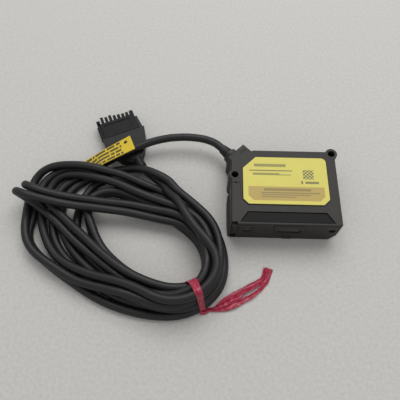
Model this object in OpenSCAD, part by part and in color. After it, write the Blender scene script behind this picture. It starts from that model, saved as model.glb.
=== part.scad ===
// Compact laser displacement sensor head with its lead, lead connector, flag tag and film tie.
// Lengths are in millimetres. Inside the modules x runs right from the left wall of the case,
// y runs back from its front face and z runs up from the surface that it lies on.

/* [Case] */
// Width of the case across its optical face
case_w = 50.5; // [48:0.5:56]
// Depth of the case from the optical face to the back wall
case_l = 39.8; // [38:0.2:44]
// Height of the case with the raised label land
case_h = 16.5; // [16:0.1:18]
// Depth of the front cover, up to the joint with the rear case
cover_l = 12.8; // [12:0.1:14]
// How far the label land stands above the strips beside it
land_rise = 0.4; // [0.4:0.1:0.7]
// Bevel along the outer edges of the mouldings
edge_bevel = 0.5; // [0.2:0.1:0.8]

/* [Mounting] */
// Diameter of the two mounting holes, which clear an M3 screw
mount_hole_d = 3.4; // [3.2:0.1:3.6]
// Radius of the half-round boss round the left mounting hole
boss_r = 3.2; // [3:0.1:3.6]
// Radius of the lug at the rear right corner
lug_r = 2.9; // [2.7:0.1:3.2]

/* [Optics] */
// Distance of the emitter axis from the left wall
emitter_x = 7.6; // [7.4:0.1:8]
// Distance of the receiver axis from the left wall
receiver_x = 26.9; // [26:0.1:28]
// Height of both optical axes
optic_z = 10.4; // [10.2:0.1:10.6]
// Width of the receiver window's seat
receiver_w = 11.8; // [11:0.1:12]
// Height of the receiver window's seat
receiver_h = 4.8; // [4.6:0.1:5]

/* [Lead] */
// Outer diameter of the lead
lead_d = 4; // [3.6:0.1:4.2]
// Height of the bundle of turns
coil_h = 13; // [10:0.5:13]
// Height of the loops that stand up at the left end of the coil
loop_h = 19; // [16:0.5:20]

/* [Connector] */
// Width of the connector body
plug_w = 20.3; // [19.9:0.1:20.7]
// Height of the connector body
plug_h = 7; // [6.5:0.1:7.2]
// Contact slots in the connector
contact_count = 8; // [6:1:8]

/* [Tag and tie] */
// Length of the flag tag
tag_l = 30; // [26:1:34]
// Width of the flag tag
tag_w = 10.1; // [9:0.1:11]
// Width of the film tie where it crosses the bundle
tie_w = 4; // [3:0.5:5]

/* [Hidden] */
$fn = 48;
eps = 0.01;

// Case levels and walls
strip_h = case_h - land_rise;
wall = 2.2;
floor_t = 2;
cavity_top = strip_h - 2.1;
seal_t = 1;
frame_screw_tip = 0.8;
tongue_bottom = case_h - 1.5;
bezel_out = 0.5;
mount_r = mount_hole_d / 2;
boss_x = 1.9;
boss_y = case_l - 14;
lug_x = case_w - 1.6;
lug_y = case_l - 1.4;
boss_top = case_h - 0.3;

// Square outlet turret on the rear left corner, turned by 45 degrees. The lead leaves it
// through the middle of its outer face.
turret_half = 5.7;
turret_depth = 8;
exit_x = 2.2;
exit_y = case_l - 0.6;
exit_z = case_h / 2;
neck_len = 1.8;
neck_r = 4.2;
collar_len = 1.6;
boot_len = 5;
gland_end = neck_len + collar_len + boot_len;
gland_stem_r = 2.6;
neck_reach = (neck_len + neck_r) / sqrt(2);

// The origin lies under the middle of the head, without its lead
origin_x = (lug_x + lug_r + exit_x - neck_reach) / 2;
origin_y = (exit_y + neck_reach - bezel_out) / 2;

// Label land, which is a tongue of the rear case that reaches over the front cover
label_t = 0.15;
label_left = 5.7;
label_right = case_w - 4.9;
label_front = 10.3;
label_back = case_l - 4.4;
label_corner = 6.2;
label_round = 2.4;
land_margin = 0.35;
land_left = label_left - land_margin;
land_right = label_right + land_margin;
land_front = label_front - land_margin;
land_back = label_back + land_margin;

// Slot across the front cover, with 45 degree ends and a lip in front of it
slot_depth = 0.8;
slot_front = 1.3;
slot_back = 6.6;
slot_gap = 0.3;
face_step_z = 7.8;
face_set_back = 0.15;
foot_h = 1.6;

// Connector: middle of its mating edge, and the sleeve that the lead leaves by
plug_x = -61.9;
plug_y = 65.4;
plug_turn = 24.5;
plug_l = 12;
slot_w = 0.8;
sleeve_x = 2.6;
sleeve_y = -28.6;
sleeve_z = 3;
sleeve_turn = 12;
sleeve_len = 5.2;

// Tie: half the width of the bundle inside it, and its film drawn at a width that packs
tie_half = 5.9;
tie_film = 0.4;

// Optical parts
barrel_r = 3.3;
barrel_front = 5;
barrel_back = 19;
bezel_r = 2.2;
emitter_pane_r = 1.8;
pane_t = 1;
pane_inset = 0.3;
receiver_pane_gap = 0.6;
lens_r = 7;
lens_front = 4.6;
lens_t = 4.2;
lens_half_h = 3.3;
imager_turn = -18;
imager_x = 33;
imager_y = 25.5;
board_z = 11;
board_t = 1;
frame_t = 1.6;

// Point on the lead's way out, a distance beyond the turret's outer face and to its side
function exit_point(out, side = 0) = [
    exit_x + (side - out) / sqrt(2),
    exit_y + (side + out) / sqrt(2)
];

// Points of a smooth closed curve through p, n for each stretch
function blend4(a, b, c, d, t) = 0.5 * (2 * b + (c - a) * t + (2 * a - 5 * b + 4 * c - d) * t * t
    + (3 * b - a - 3 * c + d) * t * t * t);
function loop_points(p, n) = [
    for (i = [0 : len(p) - 1])
        for (k = [0 : n - 1])
            blend4(p[(i + len(p) - 1) % len(p)], p[i], p[(i + 1) % len(p)],
                p[(i + 2) % len(p)], k / n)
];

// Points of a smooth open curve through p, n for each stretch
function route_points(p, n) = [
    for (i = [0 : len(p) - 2])
        for (k = [0 : (i == len(p) - 2 ? n : n - 1)])
            blend4(p[max(i - 1, 0)], p[i], p[i + 1], p[min(i + 2, len(p) - 1)], k / n)
];

function unit(v) = v / norm(v);

// A tube of radius r with sides faces, swept along the points of path
module swept_tube(path, r, sides) {
    last = len(path) - 1;
    rings = [
        for (i = [0 : last])
            let (
                along = unit(path[min(i + 1, last)] - path[max(i - 1, 0)]),
                across = unit(cross([0, 0, 1], along)),
                up = cross(along, across)
            )
            for (k = [0 : sides - 1])
                let (turn = 360 * (k + 0.5) / sides)
                path[i] + r * (cos(turn) * across + sin(turn) * up)
    ];
    walls = [
        for (i = [0 : last - 1])
            for (k = [0 : sides - 1])
                let (a = i * sides + k, b = i * sides + (k + 1) % sides)
                [a, a + sides, b + sides, b]
    ];
    first_cap = [for (k = [0 : sides - 1]) k];
    last_cap = [for (k = [sides - 1 : -1 : 0]) last * sides + k];
    polyhedron(points = rings, faces = concat(walls, [first_cap, last_cap]), convexity = 6);
}

// Moves a piece from the case's own frame to the part's origin
module in_part() {
    translate([-origin_x, -origin_y, 0]) children();
}

// Points +Z along the way the lead leaves, with the zero on the turret's outer face
module at_exit() {
    translate([exit_x, exit_y, exit_z]) rotate([0, 0, 45]) rotate([-90, 0, 0]) children();
}

// A rectangle with round corners, made of exact circles and squares
module round_rect(w, h, r) {
    square([w - 2 * r, h], center = true);
    square([w, h - 2 * r], center = true);
    for (sx = [-1, 1])
        for (sy = [-1, 1])
            translate([sx * (w / 2 - r), sy * (h / 2 - r)]) circle(r);
}

// A triangular cutter along x for the upper (sz = 1) or lower (sz = -1) edge at y = 0,
// with the material towards sy * y
module edge_cut_x(length, s, sy, sz) {
    translate([-eps, 0, 0]) rotate([90, 0, 90]) linear_extrude(length + 2 * eps)
        polygon([[sy * s, sz * eps], [-sy * eps, sz * eps], [-sy * eps, -sz * s]]);
}

module edge_cut_y(length, s, sx, sz) {
    translate([0, length + eps, 0]) rotate([90, 0, 0]) linear_extrude(length + 2 * eps)
        polygon([[sx * s, sz * eps], [-sx * eps, sz * eps], [-sx * eps, -sz * s]]);
}

// Case

// Plan of the rear case without turret, lug and boss
module rear_plan() {
    polygon([
        [0, cover_l],
        [case_w, cover_l],
        [case_w, case_l - 1],
        [case_w - 1, case_l],
        [11, case_l],
        exit_point(-turret_half, turret_half - 0.6),
        exit_point(-1.2, turret_half - 1.4),
        exit_point(-1.2, 1.4 - turret_half),
        exit_point(-3, 0.6 - turret_half),
        [0, case_l - 5.8]
    ]);
}

// Plan of the raised land. Its front part is the tongue over the front cover.
module land_plan() {
    polygon([
        [land_left, land_front + 2.7],
        [land_left + 2.7, land_front],
        [land_right - 3, land_front],
        [land_right, land_front + 3],
        [land_right, land_back - 2],
        [land_right - 2, land_back],
        [land_left + label_corner + 0.2, land_back],
        [land_left, land_back - label_corner - 0.2]
    ]);
}

module turret() {
    translate([exit_x, exit_y, 1]) rotate([0, 0, 45])
        difference() {
            translate([-turret_half, -turret_depth, 0])
                cube([2 * turret_half, turret_depth, strip_h - 1]);
            translate([-turret_half, 0, strip_h - 1])
                edge_cut_x(2 * turret_half, edge_bevel, -1, 1);
            translate([-turret_half, 0, 0])
                edge_cut_x(2 * turret_half, edge_bevel, -1, -1);
            for (side = [-1, 1])
                translate([side * turret_half, -turret_depth, strip_h - 1])
                    edge_cut_y(turret_depth, edge_bevel, -side, 1);
        }
    // Round neck that carries the gland
    at_exit() translate([0, 0, -0.5]) cylinder(h = neck_len + 0.5, r1 = neck_r + 0.3, r2 = neck_r);
}

// Free space inside the rear case
module rear_cavity() {
    translate([0, 0, floor_t]) linear_extrude(cavity_top - floor_t)
        polygon([
            [wall, cover_l - 1],
            [case_w - wall, cover_l - 1],
            [case_w - wall, case_l - 6],
            [case_w - 5, case_l - 2.6],
            [13.8, case_l - 2.6],
            [6, case_l - 10.4],
            [6, case_l - 18],
            [wall, case_l - 18]
        ]);
}

// Ring of the seal, which fills its groove in the joint face
module seal_ring() {
    translate([case_w / 2, cover_l + seal_t, (strip_h - 0.4) / 2]) rotate([90, 0, 0])
        linear_extrude(seal_t)
        difference() {
            round_rect(case_w - 1.6, strip_h - 2, 1);
            round_rect(case_w - 3, strip_h - 3.4, 0.6);
        }
}

module mount_holes() {
    for (p = [[boss_x, boss_y], [lug_x, lug_y]])
        translate([p[0], p[1], -1]) cylinder(h = case_h + 2, r = mount_r);
}

module rear_case() {
    color([0.16, 0.16, 0.15]) in_part() difference() {
        union() {
            difference() {
                linear_extrude(strip_h) rear_plan();
                rear_cavity();
                rear_edges();
            }
            difference() {
                translate([0, 0, tongue_bottom]) linear_extrude(case_h - tongue_bottom)
                    land_plan();
                land_edges();
            }
            turret();
            translate([lug_x, lug_y, 0]) cylinder(h = boss_top, r = lug_r);
            translate([boss_x, boss_y, 0]) cylinder(h = strip_h - 0.8, r = boss_r);
            translate([boss_x, boss_y, 0]) cylinder(h = boss_top, r = boss_r - 0.5);
            frame_bosses();
            foot_rib(cover_l, boss_y - 3);
        }
        mount_holes();
        seal_ring();
        indicator_space(3);
        // Passage of the lead into the case
        at_exit() translate([0, 0, -12]) cylinder(h = 23, r = gland_stem_r);
        // Threads of the frame screws
        for (p = frame_screw_places())
            translate([p[0], p[1], frame_screw_tip]) cylinder(h = 4, r = 1);
        // Panel sunk into the left strip between the joint and the mounting boss
        translate([0.8, cover_l + 0.7, strip_h - 0.25])
            cube([3.6, boss_y - boss_r - cover_l - 1.5, 1]);
        translate([boss_x + 0.4, boss_y - boss_r - 1.2, strip_h - 0.6]) cylinder(h = 1, r = 0.6);
    }
}

module rear_edges() {
    translate([0, cover_l, strip_h]) edge_cut_y(case_l, edge_bevel, 1, 1);
    translate([case_w, cover_l, strip_h]) edge_cut_y(case_l, edge_bevel, -1, 1);
    translate([0, case_l, strip_h]) edge_cut_x(case_w, edge_bevel, -1, 1);
    translate([0, cover_l, 0]) edge_cut_y(case_l, edge_bevel, 1, -1);
    translate([case_w, cover_l, 0]) edge_cut_y(case_l, edge_bevel, -1, -1);
    translate([0, case_l, 0]) edge_cut_x(case_w, edge_bevel, -1, -1);
}

module land_edges() {
    s = land_rise * 0.6;
    translate([land_left, 0, case_h]) edge_cut_y(case_l, s, 1, 1);
    translate([land_right, 0, case_h]) edge_cut_y(case_l, s, -1, 1);
    translate([0, land_front, case_h]) edge_cut_x(case_w, s, 1, 1);
}

// Bosses on the floor of the rear case that take the screws of the optics frame
module frame_bosses() {
    for (p = frame_screw_places())
        translate([p[0], p[1], floor_t - 0.4]) cylinder(h = 0.8, r = 2.2);
}

function frame_screw_places() = [[13.5, 20.5], [case_w - 6.5, 16.5], [17, case_l - 7]];
function board_screw_places() = [[22.4, case_l - 6.4], [case_w - 7.2, case_l - 8.4]];

module cover_plan() {
    polygon([
        [0.8, 0],
        [case_w - 0.8, 0],
        [case_w, 0.8],
        [case_w, cover_l],
        [0, cover_l],
        [0, 0.8]
    ]);
}

// Front face is set back below face_step_z
module face_relief() {
    translate([-1, 0, 0]) rotate([90, 0, 90]) linear_extrude(case_w + 2)
        polygon([
            [-1, -1],
            [face_set_back, -1],
            [face_set_back, face_step_z - 0.3],
            [0, face_step_z],
            [-1, face_step_z]
        ]);
}

// Low rib along the foot of the left wall, bowed outwards between y = from_y and y = to_y
module foot_rib(from_y, to_y) {
    intersection() {
        linear_extrude(foot_h)
            polygon([
                [0.5, 0.3],
                [-1.1, 0.9],
                [-1.35, 6],
                [-1.45, cover_l],
                [-1.35, boss_y - 8],
                [-0.9, boss_y - 4.2],
                [0.5, boss_y - 3.2]
            ]);
        translate([-3, from_y, -1]) cube([4, to_y - from_y, foot_h + 2]);
    }
}

// Slanted cut at the lower right corner of the cover
module corner_relief() {
    translate([case_w, 8, 0]) rotate([90, 0, 0]) linear_extrude(9)
        polygon([[1, -1], [-3.4, -1], [-3, 0], [0, 6.6], [1, 6.6]]);
}

module slot_plan(in = 0) {
    polygon([
        [3.9 + 2.2 * in, slot_front + in],
        [case_w - 3.1 - 2.2 * in, slot_front + in],
        [case_w - 6.7 - 0.8 * in, slot_back - in],
        [7.6 + 0.8 * in, slot_back - in]
    ]);
}

// Seat of the receiver's pane
module receiver_outline(grow) {
    translate([receiver_x, optic_z + 0.4])
        round_rect(receiver_w + grow, receiver_h + grow, bezel_r + grow / 2);
}

module receiver_bezel() {
    translate([receiver_x, optic_z]) polygon([
        [-7.2, 4.6],
        [-7.1, 2.4],
        [-6.7, 0.6],
        [-5.6, -1.1],
        [-3.9, -2.2],
        [3.8, -2.2],
        [5.6, -1.2],
        [6.5, 0.6],
        [6.9, 2.4],
        [7.1, 4.6]
    ]);
}

module emitter_bezel() {
    translate([emitter_x, optic_z]) polygon([
        [-3.3, -2.2],
        [1.7, -2.2],
        [2.6, 4.6],
        [-4, 4.6],
        [-3.9, -1.4]
    ]);
}

// Stands a plan drawn in x and z on the front face, from y = from_y to y = to_y
module on_face(from_y, to_y) {
    translate([0, to_y, 0]) rotate([90, 0, 0]) linear_extrude(to_y - from_y) children();
}

module front_cover() {
    color([0.17, 0.17, 0.16]) in_part() difference() {
        union() {
            difference() {
                linear_extrude(strip_h) cover_plan();
                face_relief();
                translate([0, 0, strip_h]) edge_cut_x(case_w, edge_bevel, 1, 1);
                translate([0, 0, strip_h]) edge_cut_y(cover_l, edge_bevel, 1, 1);
                translate([case_w, 0, strip_h]) edge_cut_y(cover_l, edge_bevel, -1, 1);
                corner_relief();
            }
            // Bezels of the two optical windows
            on_face(-bezel_out, 0.5) receiver_bezel();
            on_face(-bezel_out, 0.5) emitter_bezel();
            // Tab below the receiver
            on_face(-0.2, 0.5) translate([receiver_x - 1.9, 0.5]) square([4.6, 1.5]);
            foot_rib(0, cover_l);
        }
        // Hollow behind the front wall
        translate([wall, 2.2, floor_t]) cube([case_w - 2 * wall, cover_l, cavity_top - floor_t]);
        // Recess for the tongue of the rear case
        translate([0, 0, tongue_bottom]) linear_extrude(2) land_plan();
        // Slot whose floor lies high inside a narrow gap
        translate([0, 0, strip_h - slot_gap]) linear_extrude(2) slot_plan();
        translate([0, 0, strip_h - slot_depth]) linear_extrude(2) difference() {
            slot_plan();
            slot_plan(slot_gap);
        }
        // Seats and openings of the windows
        on_face(-2, pane_inset - bezel_out + pane_t) receiver_outline(-receiver_pane_gap);
        on_face(-2, 3) receiver_outline(-2.4);
        at_emitter(-2) cylinder(h = 2 + pane_inset - bezel_out + pane_t, r = emitter_pane_r);
        at_emitter(-2) cylinder(h = 6, r = emitter_pane_r - 0.6);
        // Key slots at the left front corner
        translate([0.4, -2, strip_h - 2]) cube([2.6, 3.4, 3]);
        translate([0.3, -2, 0.6]) cube([2.4, 3.6, 4]);
        // Blind gauge hole at the right of the face
        translate([case_w - 3.7, 1.2, optic_z - 0.2]) rotate([90, 0, 0]) cylinder(h = 3, r = 1.6);
    }
}

module at_emitter(y) {
    translate([emitter_x, y, optic_z]) rotate([-90, 0, 0]) children();
}

module case_seal() {
    color([0.25, 0.25, 0.27]) in_part() seal_ring();
}

module emitter_window() {
    color([0.35, 0.12, 0.14, 0.6]) in_part() at_emitter(pane_inset - bezel_out)
        cylinder(h = pane_t, r = emitter_pane_r);
}

module receiver_window() {
    color([0.22, 0.1, 0.14, 0.6]) in_part()
        on_face(pane_inset - bezel_out, pane_inset - bezel_out + pane_t)
        receiver_outline(-receiver_pane_gap);
}

// Slot for the indicator in the turret's top, h high
module indicator_space(h) {
    translate([exit_x, exit_y, strip_h - 0.8]) rotate([0, 0, 45]) translate([2.4, -2.9, 0])
        linear_extrude(h) round_rect(4, 1.5, 0.7);
}

module indicator_lens() {
    color([0.7, 0.72, 0.68, 0.8]) in_part() indicator_space(0.7);
}

module label_plan() {
    polygon([
        [label_left, label_front + 2.5],
        [label_left + 2.5, label_front],
        [label_right - 2.8, label_front],
        [label_right, label_front + 2.8],
        [label_right, label_back - label_round],
        [label_right - label_round, label_back],
        [label_left + label_corner, label_back],
        [label_left, label_back - label_corner]
    ]);
    translate([label_right - label_round, label_back - label_round]) circle(label_round);
}

module label() {
    color([0.92, 0.86, 0.38]) in_part()
        translate([0, 0, case_h]) linear_extrude(label_t) label_plan();
}

// Optics and electronics

module optics_frame() {
    color([0.62, 0.63, 0.64]) in_part() difference() {
        union() {
            translate([0, 0, floor_t + 0.4]) linear_extrude(frame_t)
                polygon([
                    [3, 4],
                    [case_w - 4, 4],
                    [case_w - 4, case_l - 6.4],
                    [15, case_l - 4.2],
                    [7, case_l - 12],
                    [7, case_l - 19],
                    [3, case_l - 19]
                ]);
            // Saddle of the laser barrel
            translate([3.6, 6, floor_t + 0.4])
                cube([8, 12, optic_z - barrel_r + 0.6 - floor_t]);
            // Seat of the receiving lens
            translate([receiver_x - 8.6, lens_front, floor_t + 0.4])
                cube([17.2, lens_t, optic_z - floor_t - 0.4]);
            // Wall that carries the imager
            at_imager() translate([-11, 2, floor_t + 0.4]) cube([22, 1.6, 6.8]);
            for (p = board_screw_places())
                translate([p[0], p[1], floor_t + 0.4])
                    cylinder(h = board_z - floor_t - 0.4, r = 1.9);
        }
        at_emitter(barrel_front - 1) cylinder(h = 16, r = barrel_r);
        lens_body();
        for (p = frame_screw_places())
            translate([p[0], p[1], 0]) cylinder(h = 8, r = 1);
        for (p = board_screw_places())
            translate([p[0], p[1], board_z - 5]) cylinder(h = 6, r = 0.8);
    }
}

module at_imager() {
    translate([imager_x, imager_y, 0]) rotate([0, 0, imager_turn]) children();
}

module laser_barrel() {
    color([0.72, 0.62, 0.4]) in_part() difference() {
        at_emitter(barrel_front) cylinder(h = barrel_back - barrel_front, r = barrel_r);
        // Lens seat, beam bore and diode seat
        at_emitter(barrel_front - 1) cylinder(h = 3.6, r = 2.4);
        at_emitter(barrel_front) cylinder(h = 20, r = 1.6);
        at_emitter(barrel_back - 5) cylinder(h = 6, r = 2.1);
        at_emitter(barrel_back - 1.4) cylinder(h = 2, r = 2.8);
    }
}

module laser_diode() {
    color([0.8, 0.76, 0.6]) in_part() {
        at_emitter(barrel_back - 5) cylinder(h = 4, r = 2.1);
        at_emitter(barrel_back - 1.4) cylinder(h = 1.2, r = 2.8);
        for (turn = [0, 120, 240])
            at_emitter(barrel_back - 0.2) rotate([0, 0, turn]) translate([1.3, 0, 0])
                cylinder(h = 1.6, r = 0.23);
    }
}

// Lens with one bulged face. It looks along +Z and its rim is t thick.
module bulged_lens(r, t, bulge) {
    sphere_r = (r * r + bulge * bulge) / (2 * bulge);
    steps = 10;
    rotate_extrude($fn = 64)
        polygon(concat([[0, 0], [r, 0], [r, t]], [
            for (k = [1 : steps])
                let (x = r * (1 - k / steps))
                [x, t + sqrt(sphere_r * sphere_r - x * x) - sphere_r + bulge]
        ]));
}

module collimator_lens() {
    color([0.75, 0.85, 0.9, 0.5]) in_part()
        at_emitter(barrel_front + 2.6) rotate([180, 0, 0]) bulged_lens(2.4, 1.2, 0.7);
}

module lens_body() {
    intersection() {
        translate([receiver_x, lens_front + lens_t - 0.6, optic_z]) rotate([90, 0, 0])
            bulged_lens(lens_r, 1.4, 1.6);
        translate([receiver_x - 8, 0, optic_z - lens_half_h]) cube([16, 20, 2 * lens_half_h]);
    }
}

module receiver_lens() {
    color([0.78, 0.85, 0.9, 0.5]) in_part() lens_body();
}

module imager_board() {
    color([0.1, 0.34, 0.2]) in_part() at_imager()
        translate([-10, 1, floor_t + 0.8 + frame_t]) cube([20, 1, 6]);
}

module imager_chip() {
    color([0.15, 0.15, 0.17]) in_part() at_imager()
        translate([-6.4, -0.8, floor_t + 1.6 + frame_t]) cube([14, 1.8, 4]);
}

module main_board() {
    color([0.1, 0.36, 0.22]) in_part() difference() {
        translate([0, 0, board_z]) linear_extrude(board_t)
            polygon([
                [14, case_l - 17],
                [case_w - 4, case_l - 17],
                [case_w - 4, case_l - 6.4],
                [case_w - 6, case_l - 3.4],
                [15.4, case_l - 3.4],
                [14, case_l - 4.8]
            ]);
        for (p = board_screw_places())
            translate([p[0], p[1], board_z - 1]) cylinder(h = 3, r = 1);
    }
}

module board_chips() {
    color([0.12, 0.12, 0.13]) in_part() translate([0, 0, board_z + board_t]) {
        translate([27, case_l - 14.8, 0]) cube([7, 7, 1.1]);
        translate([17, case_l - 14, 0]) cube([5, 4, 1.2]);
        translate([36.4, case_l - 15.4, 0]) cube([4.4, 3, 1]);
        for (k = [0 : 2])
            translate([16.6 + 1.4 * k, case_l - 8.4, 0]) cube([0.8, 1.5, 0.7]);
    }
}

// Flat strip from the imager board up to the main board
module flex_strip() {
    top = board_z;
    color([0.75, 0.5, 0.2]) in_part() at_imager() rotate([90, 0, 90])
        translate([0, 0, -9.8]) linear_extrude(3)
        polygon([
            [0.85, floor_t + frame_t + 4],
            [1, floor_t + frame_t + 4],
            [1, top - 0.5],
            [1.35, top - 0.15],
            [3, top - 0.15],
            [3, top],
            [1.2, top],
            [0.85, top - 0.4]
        ]);
}

// Small pan-head screw with its head's underside at z = 0
module pan_screw(shank_r, shank_l, head_r, head_h) {
    difference() {
        union() {
            translate([0, 0, -shank_l]) cylinder(h = shank_l + eps, r = shank_r);
            cylinder(h = head_h, r = head_r);
        }
        for (turn = [0, 90])
            rotate([0, 0, turn]) translate([-head_r * 0.6, -0.2, head_h - 0.5])
                cube([head_r * 1.2, 0.4, 1]);
    }
}

module board_screws() {
    color([0.7, 0.7, 0.72]) in_part() for (p = board_screw_places())
        translate([p[0], p[1], board_z + board_t]) pan_screw(0.8, 4.6, 1.6, 1);
}

module frame_screws() {
    color([0.7, 0.7, 0.72]) in_part() for (p = frame_screw_places())
        translate([p[0], p[1], floor_t + 0.4 + frame_t])
            pan_screw(1, floor_t + 0.4 + frame_t - frame_screw_tip, 1.9, 1.2);
}

// Lead

// Moulded gland with the stepped collar and the short grooved boot
module cable_gland() {
    color([0.12, 0.12, 0.12]) in_part() at_exit() difference() {
        union() {
            translate([0, 0, -7]) cylinder(h = 7 + neck_len, r = gland_stem_r);
            translate([0, 0, neck_len]) cylinder(h = collar_len, r = 3.8);
            translate([0, 0, neck_len + collar_len])
                cylinder(h = boot_len, r1 = 3, r2 = lead_d / 2 + 0.35);
        }
        for (k = [0 : 2])
            translate([0, 0, neck_len + collar_len + 0.9 + 1.4 * k])
                difference() {
                    cylinder(h = 0.6, r = 4);
                    translate([0, 0, -1]) cylinder(h = 3, r = 2.25);
                }
    }
}

// Crimped ring that stops the gland from being pulled out
module cable_clamp() {
    color([0.7, 0.7, 0.7]) in_part() at_exit() translate([0, 0, -9.4]) difference() {
        cylinder(h = 2.4, r = 2.5);
        translate([0, 0, -1]) cylinder(h = 5, r = 1.9);
    }
}

// Five cores between the gland and the main board
module core_wires() {
    color([0.75, 0.2, 0.15]) in_part() for (k = [0 : 4])
        let (
            side = (k - 2) * 0.55,
            start = exit_point(-7, side),
            knee = exit_point(-12, side * 1.6),
            pad = [14.6, case_l - 16 + 1.4 * k]
        )
        swept_tube([
            [start[0], start[1], exit_z],
            [knee[0], knee[1], exit_z + 0.4],
            [(knee[0] + pad[0]) / 2, (knee[1] + pad[1]) / 2, board_z - 1.2],
            [pad[0], pad[1], board_z - 0.23]
        ], 0.25, 8);
}

// Route of the lead from the gland over the connector and under the tag to the coil
LEAD_OUT_ROUTE = [
    [-7.9, 48.6, 8.5],
    [-12.3, 50.3, 8.7],
    [-17.5, 51.2, 8.8],
    [-23.1, 51.5, 8.8],
    [-29.9, 51, 8.7],
    [-35.3, 50.3, 8.5],
    [-40.2, 48.8, 8.3],
    [-45, 46.7, 8.1],
    [-49.6, 44.2, 7.9],
    [-54, 41.6, 7.7],
    [-58.4, 39.3, 7],
    [-62.6, 37.4, 5.2],
    [-66.7, 35.7, 3.6]
];

// Route of the lead from the coil back to the connector
LEAD_IN_ROUTE = [
    [-29.4, 23.2, 2.1],
    [-32.4, 26.2, 2.1],
    [-36.4, 29.3, 2.1],
    [-40.2, 32, 2.2]
];

// Outer and inner edge of the coil seen from above
COIL_OUTER = [
    [-0.4, -15.3], [-1.2, -8], [-2.4, 0], [-4.8, 4.6], [-9.5, 9.8], [-14.5, 13.4],
    [-19.4, 16.3], [-22.6, 18.9], [-26.5, 22.6], [-29.5, 23.4], [-34.5, 22.6],
    [-42.2, 24.9], [-50, 28], [-58, 31.8], [-66, 35.6], [-74, 38], [-82, 39.2],
    [-90, 37.6], [-95.5, 34], [-99, 29], [-100.3, 22], [-99, 10], [-100, 2],
    [-98.5, -4.5], [-94, -10.6], [-88, -15.8], [-75, -25.9], [-60, -34.3],
    [-46, -39.3], [-32.6, -40.9], [-19.6, -39.6], [-8, -32], [-1.8, -24.3]
];
COIL_INNER = [
    [-12.8, -16], [-13.9, -9.6], [-18.8, -2.3], [-26.2, 3.1], [-33.6, 6.6],
    [-43.5, 9.6], [-53.4, 10.6], [-62.6, 10.4], [-64.8, 6.4], [-63.2, 1], [-59.6, -5.9],
    [-53.2, -12.6], [-45.6, -18.7], [-38.5, -22.7], [-31.5, -25.3], [-24.7, -26.2],
    [-20.2, -25.4], [-15.8, -23.4], [-13.5, -20.5]
];

module lead_out() {
    start = exit_point(gland_end);
    ahead = exit_point(gland_end + 2);
    color([0.1, 0.1, 0.1]) in_part() swept_tube(
        concat([[start[0], start[1], exit_z], [ahead[0], ahead[1], exit_z]], LEAD_OUT_ROUTE),
        lead_d / 2, 8);
}

module lead_in() {
    color([0.1, 0.1, 0.1]) in_part() swept_tube(
        concat(LEAD_IN_ROUTE, [sleeve_point(2), sleeve_point(0)]), lead_d / 2, 8);
}

// Room in the coil's side for a lead that ends at p and came from q, from z = low upwards
module lead_pocket(p, q, low, high) {
    d = p - q;
    translate(p) rotate([0, 0, atan2(-d[1], -d[0])]) rotate([0, asin(d[2] / norm(d)), 0])
        translate([0, -lead_d / 2 - 0.3, low - p[2]]) cube([30, lead_d + 0.6, high - low]);
}

// Outer shape of the turns, with the two loops that stand up at their left end
module lead_coil() {
    last = len(LEAD_OUT_ROUTE) - 1;
    color([0.1, 0.1, 0.1]) in_part() difference() {
        union() {
            linear_extrude(coil_h, convexity = 4) difference() {
                polygon(loop_points(COIL_OUTER, 3));
                polygon(loop_points(COIL_INNER, 3));
            }
            standing_loops();
        }
        lead_pocket(LEAD_OUT_ROUTE[last], LEAD_OUT_ROUTE[last - 1], -1, coil_h + 9);
        lead_pocket(LEAD_IN_ROUTE[0], LEAD_IN_ROUTE[1], -1, lead_d + 0.6);
        tie_space();
        tag_plate();
    }
}

// Two turns that are thrown over the others from the right and stand on their edge
module standing_loops() {
    r = (loop_h - 1) / 2;
    translate([-84, 11.6, 0]) rotate([90, 0, 164]) translate([0, 0, -4.5]) linear_extrude(11) {
        polygon([[-12, 1], [13, 1], [13, loop_h], [6, loop_h - 0.5], [-12, coil_h - 2]]);
        translate([13, r + 1]) circle(r);
    }
}

// Connector

module at_plug() {
    translate([plug_x, plug_y, 0]) rotate([0, 0, plug_turn]) children();
}

// Point on the lead's axis, a distance beyond the end of the hood's sleeve
function sleeve_point(out) =
    let (
        along = plug_turn - 90 + sleeve_turn,
        root_x = plug_x + sleeve_x * cos(plug_turn) - sleeve_y * sin(plug_turn),
        root_y = plug_y + sleeve_x * sin(plug_turn) + sleeve_y * cos(plug_turn)
    )
    [
        root_x + (sleeve_len + out) * cos(along),
        root_y + (sleeve_len + out) * sin(along),
        sleeve_z
    ];

// Plan of the hood behind the connector body, with the flange along its right flank
module hood_plan() {
    polygon([
        [-plug_w / 2, -plug_l],
        [-plug_w / 2, -16.5],
        [-8.5, -20.5],
        [-5.2, -26.2],
        [-2.6, -28.4],
        [0.2, -29.8],
        [5.2, -29],
        [8.2, -24.4],
        [10.3, -19.9],
        [11.8, -15.6],
        [12.6, -12.2],
        [12, -10.6],
        [11.4, -3.2],
        [plug_w / 2, -3.2],
        [plug_w / 2, -plug_l]
    ]);
}

// How far each finger of the body stands out between two contact slots
FINGER_OUT = [0.5, 2.2, 1.6, 2, 1.1, 0.8, 0.4, 0.5, 0.7];

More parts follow.
